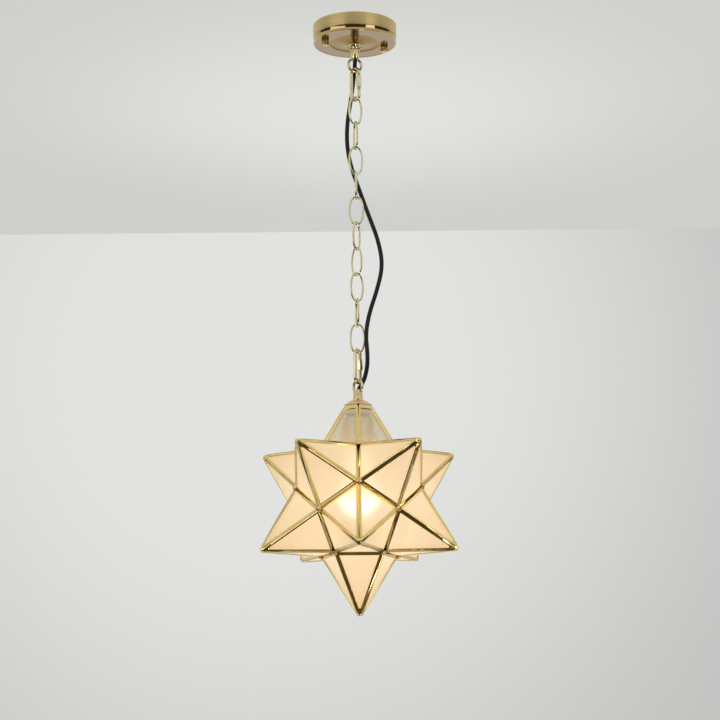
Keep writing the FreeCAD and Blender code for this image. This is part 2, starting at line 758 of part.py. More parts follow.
def inset(corners, distances):
    """Move each side of a flat outline inwards by its own distance."""
    count = len(corners)
    middle = Vector(0, 0, 0)
    for corner in corners:
        middle = middle + corner
    middle = middle * (1.0 / count)
    normal = (corners[1] - corners[0]).cross(corners[2] - corners[0]).normalize()
    lines = []
    for index in range(count):
        start = corners[index]
        along = (corners[(index + 1) % count] - start).normalize()
        inward = normal.cross(along)
        if inward.dot(middle - start) < 0:
            inward = inward * -1
        lines.append((start + inward * distances[index], along))
    moved = []
    for index in range(count):
        base, along = lines[index - 1]
        other, across = lines[index]
        side = normal.cross(across)
        reach = (other - base).dot(side) / along.dot(side)
        moved.append(base + along * reach)
    return moved


def slab(corners, from_depth, to_depth):
    """The solid between two depths behind a flat outline, with its sides aimed at the star's centre."""
    distance = plane_distance(corners)
    near = shrink(corners, (distance - from_depth) / distance)
    far = shrink(corners, (distance - to_depth) / distance)
    return stack([far, near])


def pane_outline(top_corners, index, margin):
    """Outline of one side of a point: two corners of its foot and two of its top.

    margin moves each side in: the hinged point is a little smaller than its opening.
    """
    foot = foot_corners()
    after = (index + 1) % 5
    corners = [foot[index], foot[after], top_corners[after], top_corners[index]]
    return inset(corners, [margin, 0, 0, 0])


def tip_corners():
    """Corners where the panes end at the solder tip of a whole point."""
    start = (S["star_radius"] - S["tip_length"]).value
    foot = foot_corners()
    tip = sharp_tip()
    share = (start - foot[0].z) / (tip.z - foot[0].z)
    return [corner + (tip - corner) * share for corner in foot]


def neck_corners():
    """Corners where the panes of the top point end at the neck."""
    return ring_of_corners(S["neck_radius"].value, S["neck_level"].value, 5, PENTAGON_START)


def came_frame(corners):
    """A came round one pane: a mitred channel that holds the glass between two lips."""
    face = S["came_face"].value
    head = S["came_head"].value
    web = S["came_web"].value
    lip = S["came_lip"].value
    depth = S["came_depth"].value
    frame = slab(corners, 0.0, depth)
    window = slab(inset(corners, [face, face, head, face]), -web, depth + web)
    groove = slab(inset(corners, [web] * 4), lip, lip + S["glass_thickness"].value + 2 * S["glass_gap"].value)
    return frame.cut(window).cut(groove)


def pane_glass(corners):
    """A pane, ground to lie in its came's channel."""
    edge = S["came_web"].value + S["glass_gap"].value
    top = S["came_lip"].value + S["glass_gap"].value
    return slab(inset(corners, [edge] * 4), top, top + S["glass_thickness"].value)


def solder_tip():
    """The blunt solder tip of a point: a plug between the five cames and a rounded end."""
    corners = tip_corners()
    distance = corners[0].z
    depth = S["came_depth"].value
    plug = [shrink(corners, (distance - depth) / distance), corners]
    rise = S["tip_length"].value
    blunt = S["tip_blunt"].value
    head = []
    for share, width in ((0.6, (1 + blunt) / 2 + 0.02), (1.0, blunt)):
        head.append([Vector(c.x * width, c.y * width, c.z + rise * share) for c in corners])
    return stack(plug + head)


def point_placements():
    """Where the twelve points stand: number, name and the turn that lays +Z along the point's axis.

    Point 01 is the top one, 02 to 06 the upper ring from the back, 07 to 11 the lower ring from the
    front, and 12 the bottom one.
    """
    tilt = math.degrees(math.atan(2.0))
    half_turn = Rotation(Vector(0, 0, 1), 180)
    outwards = Rotation(Vector(1, 0, 0), -tilt).multiply(half_turn)
    over = Rotation(Vector(1, 0, 0), 180)
    turns = [(1, Rotation())]
    for k in range(5):
        turns.append((2 + k, Rotation(Vector(0, 0, 1), 72 * k).multiply(outwards)))
    for k in range(5):
        turns.append((7 + k, Rotation(Vector(0, 0, 1), 72 * k).multiply(over).multiply(outwards)))
    turns.append((12, over))
    return turns


def star_points():
    """Cames with solder tips and panes of all twelve points."""
    door_number = 2
    centre = level(STAR_Z)
    tips = tip_corners()
    neck = neck_corners()
    for number, turn in point_placements():
        top = neck if number == 1 else tips
        margin = S["door_gap"].value if number == door_number else 0.0
        cames = []
        panes = []
        for index in range(5):
            corners = pane_outline(top, index, margin)
            cames.append(came_frame(corners))
            panes.append(pane_glass(corners))
        if number != 1:
            cames.append(solder_tip())
        placement = Placement(centre, turn)
        solid_part("came_point_%02d" % number, Part.makeCompound(cames), placement)
        solid_part("glass_point_%02d" % number, Part.makeCompound(panes), placement)


# --- cap, lamp and bulb ---

def pentagon(radius, height):
    """Corners of a level pentagon with a flat side to the back."""
    return ring_of_corners(radius, height, 5, PENTAGON_START)


def star_cap():
    """The bent pentagonal cap that closes the neck: a flat top and petals that curve down."""
    foot = S["neck_radius"].value + S["cap_overhang"].value
    flat = S["cap_flat_radius"].value
    rise = S["cap_height"].value
    sheet = S["cap_sheet"].value
    outer = []
    inner = []
    for share, height in ((0.0, 0.0), (0.4, 0.42), (0.75, 0.8), (1.0, 1.0)):
        radius = foot + (flat - foot) * share
        outer.append(pentagon(radius, rise * height))
        inner.append(pentagon(radius - sheet, max(rise * height - sheet, 0.0)))
    inner[0] = pentagon(foot - sheet, 0.0)
    inner[1] = pentagon(foot + (flat - foot) * 0.4 - sheet, rise * 0.42 - sheet * 0.5)
    shell = stack(outer).cut(stack(inner))
    hole = many_sided([(S["tube_radius"] + S["running_gap"], 0), (S["tube_radius"] + S["running_gap"], rise)],
                      SMALL_SIDES)
    solid_part("star_cap", shell.cut(hole), Placement(level(CAP_TOP_Z - S["cap_height"]), Rotation()))


def cup_room(height):
    """Radius that the top point leaves for the lamp cup at a height above the star's centre."""
    to_side = math.cos(math.radians(36))
    neck = S["neck_radius"] * to_side
    foot = CORE_RADIUS * (CORE_CORNER * to_side)
    slope = (foot - neck) / (S["neck_level"] - CORE_RADIUS * CORE_LEVEL)
    across = S["came_depth"] * math.hypot(1.0, slope.value)
    return neck + (S["neck_level"] - height) * slope - across - S["cup_clearance"]


def lamp_cup():
    """The brass cup over the lamp holder: flat top, sloping shoulder, open below."""
    wall = S["cup_wall"]
    radius = cup_room(S["cup_level"] - S["cup_shoulder_drop"])
    shoulder = cup_room(S["cup_level"])
    top = CUP_TOP_Z
    bend = top - S["cup_shoulder_drop"]
    foot = top - S["cup_height"]
    hole = S["tube_radius"] + S["running_gap"]
    outside = many_sided([(radius, foot), (radius, bend), (shoulder, top)], ROUND_SIDES)
    inside = many_sided([(radius - wall, foot), (radius - wall, bend), (shoulder - wall, top - wall)],
                        ROUND_SIDES)
    entry = many_sided([(hole, top - wall), (hole, top)], SMALL_SIDES)
    solid_part("lamp_cup", outside.cut(inside).cut(entry))


def holder_body():
    """The insulating body of the lamp holder, open below, screwed on the lamp tube."""
    foot = HOLDER_TOP_Z - S["holder_height"]
    cavity = S["socket_radius"] + S["socket_wall"]
    radius = cup_room(S["cup_level"]) - S["cup_wall"]
    outside = many_sided([(radius, foot), (radius, HOLDER_TOP_Z)], ROUND_SIDES)
    inside = many_sided([(cavity, foot), (cavity, HOLDER_FLOOR_Z)], ROUND_SIDES)
    entry = many_sided([(S["tube_radius"], HOLDER_TOP_Z - S["stem_thread"]), (S["tube_radius"], HOLDER_TOP_Z)],
                       SMALL_SIDES)
    wire_way = many_sided([(S["tube_bore"], HOLDER_FLOOR_Z), (S["tube_bore"], HOLDER_TOP_Z)], SMALL_SIDES)
    solid_part("holder_body", outside.cut(inside).cut(entry).cut(wire_way))


def holder_shell():
    """The threaded shell inside the lamp holder."""
    inner = S["socket_radius"]
    outer = inner + S["socket_wall"]
    foot = HOLDER_TOP_Z - S["holder_height"] + S["socket_wall"]
    outside = many_sided([(outer, foot), (outer, HOLDER_FLOOR_Z)], ROUND_SIDES)
    inside = many_sided([(inner, foot), (inner, HOLDER_FLOOR_Z)], ROUND_SIDES)
    solid_part("holder_shell", outside.cut(inside))


def holder_contact():
    """The centre contact: a button on a plug in the holder's wire way."""
    plug = S["tube_bore"]
    button = S["contact_radius"] + plug * HALF
    height = S["contact_height"]
    head = many_sided([(S["contact_radius"], HOLDER_FLOOR_Z - height), (button, HOLDER_FLOOR_Z)], SMALL_SIDES)
    pin = many_sided([(plug, HOLDER_FLOOR_Z), (plug, HOLDER_FLOOR_Z + height)], SMALL_SIDES)
    solid_part("holder_contact", head.fuse(pin))


def globe_profile(radius, neck):
    """Radii and heights of the bulb's glass, from the foot of the globe up to the screw base."""
    middle = BULB_GLASS_Z - S["bulb_length"] + S["bulb_radius"]
    profile = []
    for angle in (-75, -50, -25, 0, 25, 45):
        turn = math.radians(angle)
        profile.append((radius * math.cos(turn), middle + radius * math.sin(turn)))
    profile.append((neck, BULB_GLASS_Z - S["bulb_neck"]))
    profile.append((neck, BULB_GLASS_Z))
    return profile


def bulb():
    """The bulb: its screw base and its hollow globe, which narrows to the base."""
    base = S["bulb_base_radius"]
    wall = S["bulb_wall"]
    shoulder_z = BULB_TOP_Z - S["bulb_base_taper"]
    screw = many_sided([(base, BULB_GLASS_Z), (base, shoulder_z), (S["contact_radius"], BULB_TOP_Z)],
                       ROUND_SIDES)
    room = many_sided([(base - wall, BULB_GLASS_Z), (base - wall, shoulder_z)], ROUND_SIDES)
    solid_part("bulb_base", screw.cut(room))
    globe = many_sided(globe_profile(S["bulb_radius"], base), ROUND_SIDES)
    hollow = many_sided(globe_profile(S["bulb_radius"] - wall, base - wall), ROUND_SIDES)
    solid_part("bulb_glass", globe.cut(hollow))


# --- hinge of the rear point ---

def hinge_centre():
    """Height and depth of the hinge line: on the line from the star's centre through the valley."""
    valley_y = CORE_RADIUS.value * CORE_CORNER * math.cos(math.radians(36))
    valley_z = CORE_RADIUS.value * CORE_LEVEL
    reach = math.hypot(valley_y, valley_z)
    pane_distance = plane_distance(pane_outline(neck_corners(), 0, 0.0))
    out = (S["hinge_radius"].value + S["door_gap"].value / 2) * reach / pane_distance
    return Vector(0, valley_y * (reach + out) / reach, valley_z * (reach + out) / reach)


def hinge_piece(radius, bore, start, length):
    """A barrel or pin along its own axis, with its first end at start."""
    piece = many_sided([(radius, start), (radius, start + length)], SMALL_SIDES)
    if bore > 0:
        piece = piece.cut(many_sided([(bore, start), (bore, start + length)], SMALL_SIDES))
    return piece


def door_hinge():
    """Two outer barrels on the star, the middle one on the door and the pin through all three."""
    spot = Placement(level(STAR_Z) + hinge_centre(), Rotation(Vector(0, 1, 0), 90))
    whole = S["hinge_length"].value
    middle = S["hinge_knuckle"].value
    gap = S["running_gap"].value
    outer = (whole - middle) / 2 - gap
    radius = S["hinge_radius"].value
    pin = S["hinge_pin"].value
    bore = pin + S["running_gap"].value / 4
    solid_part("hinge_barrels", Part.makeCompound([
        hinge_piece(radius, pin, -whole / 2, outer),
        hinge_piece(radius, pin, whole / 2 - outer, outer)]), spot)
    solid_part("door_barrel", hinge_piece(radius, bore, -middle / 2, middle), spot)
    solid_part("hinge_pin", hinge_piece(pin, 0.0, -whole / 2, whole), spot)


# --- power cord ---

def cord_path(points):
    """Straight runs joined by tangent arcs, each arc as large as its two runs allow."""
    edges = []
    radii = []
    last = points[0]
    for before, corner, after in zip(points[:-2], points[1:-1], points[2:]):
        back = (before - corner).normalize()
        ahead = (after - corner).normalize()
        turn = math.pi - back.getAngle(ahead)
        reach = 0.45 * min((before - corner).Length, (after - corner).Length)
        start = corner + back * reach
        end = corner + ahead * reach
        radius = reach / math.tan(turn / 2)
        radii.append(radius)
        inward = (back + ahead).normalize()
        centre = corner + inward * math.hypot(radius, reach)
        middle = centre - inward * radius
        edges.append(Part.LineSegment(last, start).toShape())
        edges.append(Part.Arc(start, middle, end).toShape())
        last = end
    edges.append(Part.LineSegment(last, points[-1]).toShape())
    return Part.Wire(edges), radii


def power_cord():
    """The free cord: it leaves the upper stem through its ring and ends in the lower stem."""
    points = [Vector(*spot) for spot in CORD_ROUTE]
    path, radii = cord_path(points)
    radius = S["cord_radius"].value
    across = (points[1] - points[0]).normalize()
    side = Vector(1, 0, 0)
    side = (side - across * side.dot(across)).normalize()
    other = across.cross(side)
    corners = []
    for index in range(CORD_SIDES):
        angle = 2 * math.pi * index / CORD_SIDES
        corners.append(points[0] + side * (radius * math.cos(angle)) + other * (radius * math.sin(angle)))
    section = Part.makePolygon(corners + corners[:1])
    shell = Part.BRepOffsetAPI.MakePipeShell(path)
    shell.add(section, False, False)
    shell.setTransitionMode(0)
    shell.build()
    shell.makeSolid()
    cord = shell.shape()
    if cord.Volume < 0:
        cord.reverse()
    area = Part.Face(section).Area
    print("cord length %.1f, volume %.1f, section times length %.1f, tightest radius %.1f"
          % (path.Length, cord.Volume, area * path.Length, min(radii)))
    solid_part("power_cord", cord)


def check_and_write():
    """Stop if anything failed, then write one STEP file for each sub-part."""
    for item in DOC.Objects:
        if "Invalid" in item.State or "Error" in item.State:
            raise RuntimeError("failed: %s %s" % (item.Name, item.State))
    os.makedirs("parts", exist_ok=True)
    inner = set()
    for item in DOC.Objects:
        for name in ("Base", "Tool"):
            used = getattr(item, name, None)
            if hasattr(used, "Name"):
                inner.add(used.Name)
        for used in getattr(item, "Shapes", []):
            inner.add(used.Name)
    for item in DOC.Objects:
        kind = item.TypeId
        if not (kind == "PartDesign::Body" or kind.startswith("Part::")) or item.Name in inner:
            continue
        shape = item.Shape
        if shape.isNull() or not shape.isValid():
            raise RuntimeError("bad shape: " + item.Label)
        shape.exportStep("parts/%s.step" % item.Label)
        print(item.Label, len(shape.Solids), round(shape.Volume, 1))


def build():
    canopy_shell()
    mounting_bracket()
    solid_part("canopy_studs", Part.makeCompound(at_studs(stud_shape(), as_size(0))))
    solid_part("thumb_nuts", Part.makeCompound(at_studs(thumb_nut_shape(), NUT_SEAT_Z)))
    tube("canopy_tube", CROWN_Z + S["canopy_tube_rise"], CROWN_Z - S["stem_thread"])
    lock_nuts("canopy_lock_nut", CROWN_Z + S["canopy_wall"])
    terminal_block()
    upper_loop()
    quick_link("upper_quick_link", UPPER_QUICK_Z, S["upper_quick_yaw"])
    quick_nut("upper_quick_nut", UPPER_QUICK_Z, S["upper_quick_yaw"])
    for number, yaw in enumerate(CHAIN_YAWS, start=1):
        chain_link(number, yaw)
    quick_link("lower_quick_link", LOWER_QUICK_Z, S["lower_quick_yaw"])
    quick_nut("lower_quick_nut", LOWER_QUICK_Z, S["lower_quick_yaw"])
    lower_loop()
    star_cap()
    tube("lamp_tube", CAP_TOP_Z + S["stem_thread"], HOLDER_TOP_Z - S["stem_thread"])
    lock_nuts("lamp_lock_nuts", CAP_TOP_Z - S["cap_sheet"] - S["lock_nut_height"], CUP_TOP_Z)
    lamp_cup()
    holder_body()
    holder_shell()
    holder_contact()
    bulb()
    star_points()
    door_hinge()
    power_cord()
    DOC.recompute()
    check_and_write()


build()
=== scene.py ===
"""Star pendant: looks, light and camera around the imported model.

Lengths are in metres. Those in millimetres are written with MM, and so are profiles and the cord's route.
"""
import math

import bmesh
import bpy
from mathutils import Matrix, Vector


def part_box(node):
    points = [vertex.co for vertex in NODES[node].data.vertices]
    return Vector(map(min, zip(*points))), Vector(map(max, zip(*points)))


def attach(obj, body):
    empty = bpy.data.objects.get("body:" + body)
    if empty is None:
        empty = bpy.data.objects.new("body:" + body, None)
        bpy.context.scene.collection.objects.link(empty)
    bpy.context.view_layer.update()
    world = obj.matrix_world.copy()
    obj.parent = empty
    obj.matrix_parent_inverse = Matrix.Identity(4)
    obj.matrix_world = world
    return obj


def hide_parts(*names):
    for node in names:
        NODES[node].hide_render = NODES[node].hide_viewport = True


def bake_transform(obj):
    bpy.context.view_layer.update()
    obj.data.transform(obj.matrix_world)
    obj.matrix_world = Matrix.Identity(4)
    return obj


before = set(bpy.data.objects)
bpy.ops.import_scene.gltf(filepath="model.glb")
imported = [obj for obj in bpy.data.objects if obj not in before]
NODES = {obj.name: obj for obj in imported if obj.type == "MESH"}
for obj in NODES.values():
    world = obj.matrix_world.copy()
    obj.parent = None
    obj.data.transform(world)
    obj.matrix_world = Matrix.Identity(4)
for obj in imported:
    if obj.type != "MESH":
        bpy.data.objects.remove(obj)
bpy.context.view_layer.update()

MM = 0.001
LINK_COUNT = 10
LINK_HALF_LENGTH = 20.25 * MM
LINK_HALF_WIDTH = 9.55 * MM
LINK_WIRE = 1.45 * MM
LINK_FULLNESS = 0.86
LAST_LINK_FULLNESS = 0.72
QUICK_HALF_LENGTH = 23.6 * MM
QUICK_HALF_WIDTH = 6.85 * MM
QUICK_WIRE = 2.4 * MM
RING_RADIUS = 9.9 * MM
RING_WIRE = 1.85 * MM
CORD_RADIUS = 3.0 * MM
NUT_OFFSET = 45.0 * MM
NUT_SEAT = -26.2 * MM

# Turns about the vertical, in degrees.
CHAIN_YAWS = [25.0, -76.0, 15.0, 88.0, 0.0, 62.0, -45.0, 30.0, -80.0, 0.0]
UPPER_RING_YAW = 20.0
LOWER_RING_YAW = -53.0
UPPER_QUICK_YAW = -36.0
LOWER_QUICK_YAW = 59.0
BRACKET_TURN = 19.0

# The star: its core's corners and its tips, both from the centre, and the flat along each ridge.
CORE_RADIUS = 0.0931
STAR_RADIUS = 0.157
CAP_ABOVE_CENTRE = 0.135
RIDGE_CUT = 0.0011
CAME_EASING = 0.3 * MM
SOLDER_RADIUS = 4.2 * MM
SOLDER_SQUASH = 0.5
SOLDER_REACH = 1.012

# The photograph's view, fitted to the star's corners.
PICTURE_WIDTH = 720.0
FOCAL_PIXELS = 1948.0
SENSOR_WIDTH = 36.0
CAMERA_PLACE = (0.00126, -2.6849, -1.0126)
CAMERA_PAN = -0.044
CAMERA_LIFT = 10.948
CAMERA_ROLL = -0.523

# The cord's route from the upper stem to the lower one, in millimetres.
CORD_ROUTE = [
    (0.0, 0.0, -46.0),
    (0.0, 0.3, -52.0),
    (-0.3, 3.0, -58.0),
    (-0.9, 8.3, -64.5),
    (-1.8, 10.0, -73.0),
    (-3.4, 11.3, -88.0),
    (-7.6, 11.8, -114.0),
    (-12.4, 11.4, -146.0),
    (-12.6, 13.4, -178.0),
    (-6.8, 16.4, -208.0),
    (3.5, 17.5, -238.0),
    (17.0, 14.5, -278.0),
    (31.0, 9.0, -318.0),
    (37.0, 4.0, -356.0),
    (28.5, 1.0, -392.0),
    (16.5, -2.5, -428.0),
    (11.6, -6.5, -458.0),
    (13.6, -7.2, -481.0),
    (14.0, -6.2, -499.0),
    (11.2, -3.0, -515.0),
    (6.2, -0.9, -527.5),
    (0.7, 0.0, -534.8),
    (0.0, 0.0, -541.0),
]


def middle_z(node):
    low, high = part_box(node)
    return (low[2] + high[2]) / 2


def srgb(red, green, blue):
    """A colour as it looks on the screen, from 0 to 255, as the shader's linear values."""
    linear = []
    for value in (red, green, blue):
        share = value / 255
        linear.append(share / 12.92 if share <= 0.04045 else ((share + 0.055) / 1.055) ** 2.4)
    return (*linear, 1.0)


# --- materials ---

class Shader:
    """A material with a Principled surface and short ways to add and join nodes."""

    def __init__(self, name, **values):
        self.material = bpy.data.materials.new(name)
        self.material.use_nodes = True
        self.tree = self.material.node_tree
        self.surface = self.tree.nodes["Principled BSDF"]
        self.output = self.tree.nodes["Material Output"]
        self.coordinates = self.add("ShaderNodeTexCoord")
        for socket, value in values.items():
            self.surface.inputs[socket.replace("_", " ")].default_value = value

    def add(self, kind, inputs=None, **settings):
        node = self.tree.nodes.new(kind)
        for key, value in settings.items():
            setattr(node, key, value)
        for key, value in (inputs or {}).items():
            if isinstance(value, bpy.types.NodeSocket):
                self.tree.links.new(value, node.inputs[key])
            else:
                node.inputs[key].default_value = value
        return node

    def join(self, socket, name):
        self.tree.links.new(socket, self.surface.inputs[name])

    def noise(self, scale, detail=2.0, vector=None, roughness=0.5):
        source = self.coordinates.outputs["Object"] if vector is None else vector
        node = self.add("ShaderNodeTexNoise", {"Vector": source, "Scale": scale, "Detail": detail,
                                               "Roughness": roughness})
        return node.outputs["Fac"]

    def spread(self, value, low, high, start=0.3, end=0.7):
        node = self.add("ShaderNodeMapRange", {"Value": value, "From Min": start, "From Max": end,
                                               "To Min": low, "To Max": high})
        return node.outputs["Result"]

    def tint(self, share, first, second):
        node = self.add("ShaderNodeMix", data_type="RGBA")
        self.tree.links.new(share, node.inputs[0])
        node.inputs[6].default_value = first
        node.inputs[7].default_value = second
        return node.outputs[2]

    def relief(self, height, strength, distance):
        bump = self.add("ShaderNodeBump", {"Height": height, "Strength": strength, "Distance": distance})
        self.join(bump.outputs["Normal"], "Normal")

    def around_axis(self, ring_scale, level_scale):
        """Coordinates that change with the distance from the vertical axis and with the height only."""
        split = self.add("ShaderNodeSeparateXYZ", {"Vector": self.coordinates.outputs["Object"]})
        flat = self.add("ShaderNodeCombineXYZ", {"X": split.outputs["X"], "Y": split.outputs["Y"]})
        reach = self.add("ShaderNodeVectorMath", {0: flat.outputs["Vector"]}, operation="LENGTH")
        ring = self.add("ShaderNodeMath", {0: reach.outputs["Value"], 1: ring_scale}, operation="MULTIPLY")
        level = self.add("ShaderNodeMath", {0: split.outputs["Z"], 1: level_scale}, operation="MULTIPLY")
        joined = self.add("ShaderNodeCombineXYZ", {"X": ring.outputs["Value"], "Y": level.outputs["Value"]})
        return joined.outputs["Vector"]


def metal(name, light, dark, roughness, wear=0.12, grain=900.0, relief=0.03):
    """Solid metal with slow changes of tone, uneven polish and fine scratches."""
    shader = Shader(name, Metallic=1.0)
    shader.join(shader.tint(shader.spread(shader.noise(45.0, 4.0), 0.0, 1.0), light, dark), "Base Color")
    polish = shader.noise(160.0, 3.0)
    shader.join(shader.spread(polish, max(0.03, roughness - wear / 2), roughness + wear), "Roughness")
    shader.relief(shader.noise(grain, 2.0), relief, 0.0005)
    return shader.material


def spun_metal(name, light, dark, low, high, stretch=0.35, relief=0.05):
    """Metal turned on a lathe and brushed: fine lines run round the axis and stretch the highlights."""
    lines = 2600.0
    shader = Shader(name, Metallic=1.0, Anisotropic=stretch, Anisotropic_Rotation=0.25)
    tangent = shader.add("ShaderNodeTangent", direction_type="RADIAL", axis="Z")
    shader.join(tangent.outputs["Tangent"], "Tangent")
    brushed = shader.noise(1.0, 3.0, shader.around_axis(lines, lines))
    shader.join(shader.tint(shader.spread(brushed, 0.0, 1.0), light, dark), "Base Color")
    shader.join(shader.spread(brushed, low, high), "Roughness")
    shader.relief(brushed, relief, 0.0003)
    return shader.material


def plastic(name, colour, roughness, grain=1400.0):
    """Moulded plastic with slow changes of tone and a fine grain."""
    shader = Shader(name)
    darker = tuple(value * 0.8 for value in colour[:3]) + (1.0,)
    shader.join(shader.tint(shader.spread(shader.noise(70.0, 3.0), 0.0, 1.0), colour, darker), "Base Color")
    shader.join(shader.spread(shader.noise(200.0), roughness - 0.06, roughness + 0.08), "Roughness")
    shader.relief(shader.noise(grain, 1.0), 0.08, 0.0002)
    return shader.material


def cord_cover():
    """Black cord cover: two wires twisted under it show as a slow spiral along the cord."""
    turns_per_metre = 45.0
    wires = 2.0
    shader = Shader("cord_cover", Specular_IOR_Level=0.4)
    split = shader.add("ShaderNodeSeparateXYZ", {"Vector": shader.coordinates.outputs["UV"]})
    turns = shader.add("ShaderNodeMath", {0: split.outputs["Y"], 1: turns_per_metre}, operation="MULTIPLY")
    around = shader.add("ShaderNodeMath", {0: split.outputs["X"], 1: wires}, operation="MULTIPLY")
    phase = shader.add("ShaderNodeMath", {0: turns.outputs["Value"], 1: around.outputs["Value"]},
                       operation="ADD")
    angle = shader.add("ShaderNodeMath", {0: phase.outputs["Value"], 1: 2 * math.pi}, operation="MULTIPLY")
    wave = shader.add("ShaderNodeMath", {0: angle.outputs["Value"]}, operation="SINE")
    shader.join(shader.tint(shader.spread(shader.noise(300.0), 0.0, 1.0),
                            srgb(14, 13, 12), srgb(26, 24, 22)), "Base Color")
    shader.join(shader.spread(shader.noise(500.0), 0.36, 0.5), "Roughness")
    shader.relief(wave.outputs["Value"], 0.35, 0.0006)
    return shader.material


def glass_mix(name, milk, clear_share, clear_roughness, painted_glow, painted_glow_strength):
    """Frosted glass: a milky surface with painted light, an emission brightest near the bulb that stands in
    for the lamp's light through the glass, mixed with rough clear glass that shows the lamp.
    """
    near_reach = 0.055
    far_reach = 0.150
    shader = Shader(name, Base_Color=milk, Roughness=0.35, Specular_IOR_Level=0.5)
    tree = shader.tree
    clear = shader.add("ShaderNodeBsdfPrincipled", {
        "Base Color": (0.97, 0.95, 0.88, 1.0), "Transmission Weight": 1.0, "IOR": 1.12})
    tree.links.new(shader.spread(shader.noise(350.0), clear_roughness - 0.03, clear_roughness + 0.04),
                   clear.inputs["Roughness"])
    # Painted light: the emission stands in for the bulb's light through the glass. It is brightest within
    # near_reach of the bulb and fades out by far_reach.
    shader.surface.inputs["Emission Strength"].default_value = painted_glow_strength
    near = shader.add("ShaderNodeVectorMath", {0: shader.coordinates.outputs["Object"], 1: BULB_MIDDLE},
                      operation="DISTANCE")
    painted_falloff = shader.spread(near.outputs["Value"], 1.0, 0.0, near_reach, far_reach)
    shader.join(shader.tint(painted_falloff, painted_glow[0], painted_glow[1]), "Emission Color")
    shader.relief(shader.noise(1200.0, 1.0), 0.05, 0.0002)
    mix = shader.add("ShaderNodeMixShader", {"Fac": clear_share})
    tree.links.new(shader.surface.outputs["BSDF"], mix.inputs[1])
    tree.links.new(clear.outputs["BSDF"], mix.inputs[2])
    tree.links.new(mix.outputs["Shader"], shader.output.inputs["Surface"])
    return shader.material


def bulb_glow():
    """A lit bulb: bright globe, dim neck."""
    neck_start = BULB_LOW[2] + 0.002
    neck_end = BULB_LOW[2] + 0.032
    shader = Shader("bulb_glass", Base_Color=(1.0, 0.95, 0.85, 1.0), Roughness=0.4, Emission_Strength=20.0)
    split = shader.add("ShaderNodeSeparateXYZ", {"Vector": shader.coordinates.outputs["Object"]})
    neck = shader.spread(split.outputs["Z"], 1.0, 0.0, neck_start, neck_end)
    shader.join(shader.tint(neck, (0.13, 0.085, 0.05, 1.0), (1.0, 0.92, 0.78, 1.0)), "Emission Color")
    return shader.material


BULB_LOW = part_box("bulb_glass")[0]
BULB_MIDDLE = (0.0, 0.0, BULB_LOW[2] + 0.018)

CANOPY = spun_metal("canopy_brass", srgb(226, 202, 148), srgb(208, 182, 124), 0.34, 0.42, stretch=0.8)
# The seat and the crown are the wall's brass with much darker base colours: painted shade of the underside
# and its recess, besides their smoother polish.
CANOPY_SEAT = spun_metal("canopy_brass_seat", srgb(184, 163, 134), srgb(168, 146, 116), 0.12, 0.2,
                         relief=0.02)
CANOPY_CROWN = spun_metal("canopy_brass_crown", srgb(184, 154, 96), srgb(154, 124, 70), 0.12, 0.18,
                          stretch=0.85, relief=0.01)
CANOPY_POLISHED = spun_metal("canopy_brass_polished", srgb(208, 184, 128), srgb(188, 160, 102), 0.05, 0.1,
                             relief=0.01)
STEEL = metal("plated_steel", srgb(205, 205, 200), srgb(170, 170, 165), 0.3)
NUT = metal("nut_brass", srgb(244, 208, 142), srgb(218, 172, 100), 0.12)
LOOP = metal("loop_brass", srgb(240, 224, 172), srgb(220, 198, 142), 0.08, wear=0.04)
CHAIN = metal("chain_brass", srgb(244, 236, 200), srgb(224, 212, 166), 0.08, wear=0.04)
CAP = metal("cap_copper", srgb(236, 206, 160), srgb(212, 174, 124), 0.2)
CAME = metal("came_brass", srgb(255, 232, 160), srgb(246, 212, 132), 0.12, wear=0.06)
SOLDER = metal("solder", srgb(255, 220, 184), srgb(240, 190, 144), 0.3, relief=0.12, grain=420.0)
CUP = spun_metal("cup_brass", srgb(244, 226, 184), srgb(230, 204, 152), 0.26, 0.36)
CONTACT = metal("contact_brass", srgb(214, 184, 120), srgb(186, 150, 90), 0.25)
BASE = metal("base_aluminium", srgb(205, 206, 208), srgb(176, 177, 180), 0.28)
WHITE = plastic("white_plastic", srgb(228, 228, 222), 0.45)
BLACK = plastic("black_plastic", srgb(34, 33, 32), 0.4)
CORD = cord_cover()
# Lit and shaded copies of one frosted glass, both with painted light: the top point's copy glows more
# dimly.
GLASS_WITH_PAINTED_GLOW = glass_mix("frosted_glass", srgb(188, 166, 136), 0.26, 0.46,
                      (srgb(228, 201, 157), srgb(252, 234, 200)), 0.75)
GLASS_WITH_DIM_PAINTED_GLOW = glass_mix("frosted_glass_dim_painted_glow", srgb(206, 202, 186), 0.6, 0.08,
                        (srgb(228, 216, 188), srgb(214, 208, 190)), 0.40)
BULB = bulb_glow()

NODE_MATERIALS = {
    "mounting_bracket": STEEL, "canopy_studs": STEEL, "canopy_tube": STEEL, "canopy_lock_nut": STEEL,
    "lamp_tube": STEEL, "lamp_lock_nuts": STEEL, "terminal_block": WHITE, "star_cap": CAP,
    "lamp_cup": CUP, "holder_body": BLACK, "holder_shell": CONTACT, "holder_contact": CONTACT,
    "bulb_base": BASE, "bulb_glass": BULB, "hinge_barrels": CAME, "door_barrel": CAME, "hinge_pin": STEEL,
    "glass_point_01": GLASS_WITH_DIM_PAINTED_GLOW,
}


def dress(item, material):
    item.data.materials.clear()
    item.data.materials.append(material)


# --- meshes ---

def add_mesh(name, vertices, faces, material, smooth=True):
    mesh = bpy.data.meshes.new(name)
    mesh.from_pydata(vertices, [], faces)
    mesh.update()
    for face in mesh.polygons:
        face.use_smooth = smooth
    item = bpy.data.objects.new(name, mesh)
    bpy.context.collection.objects.link(item)
    dress(item, material)
    return item


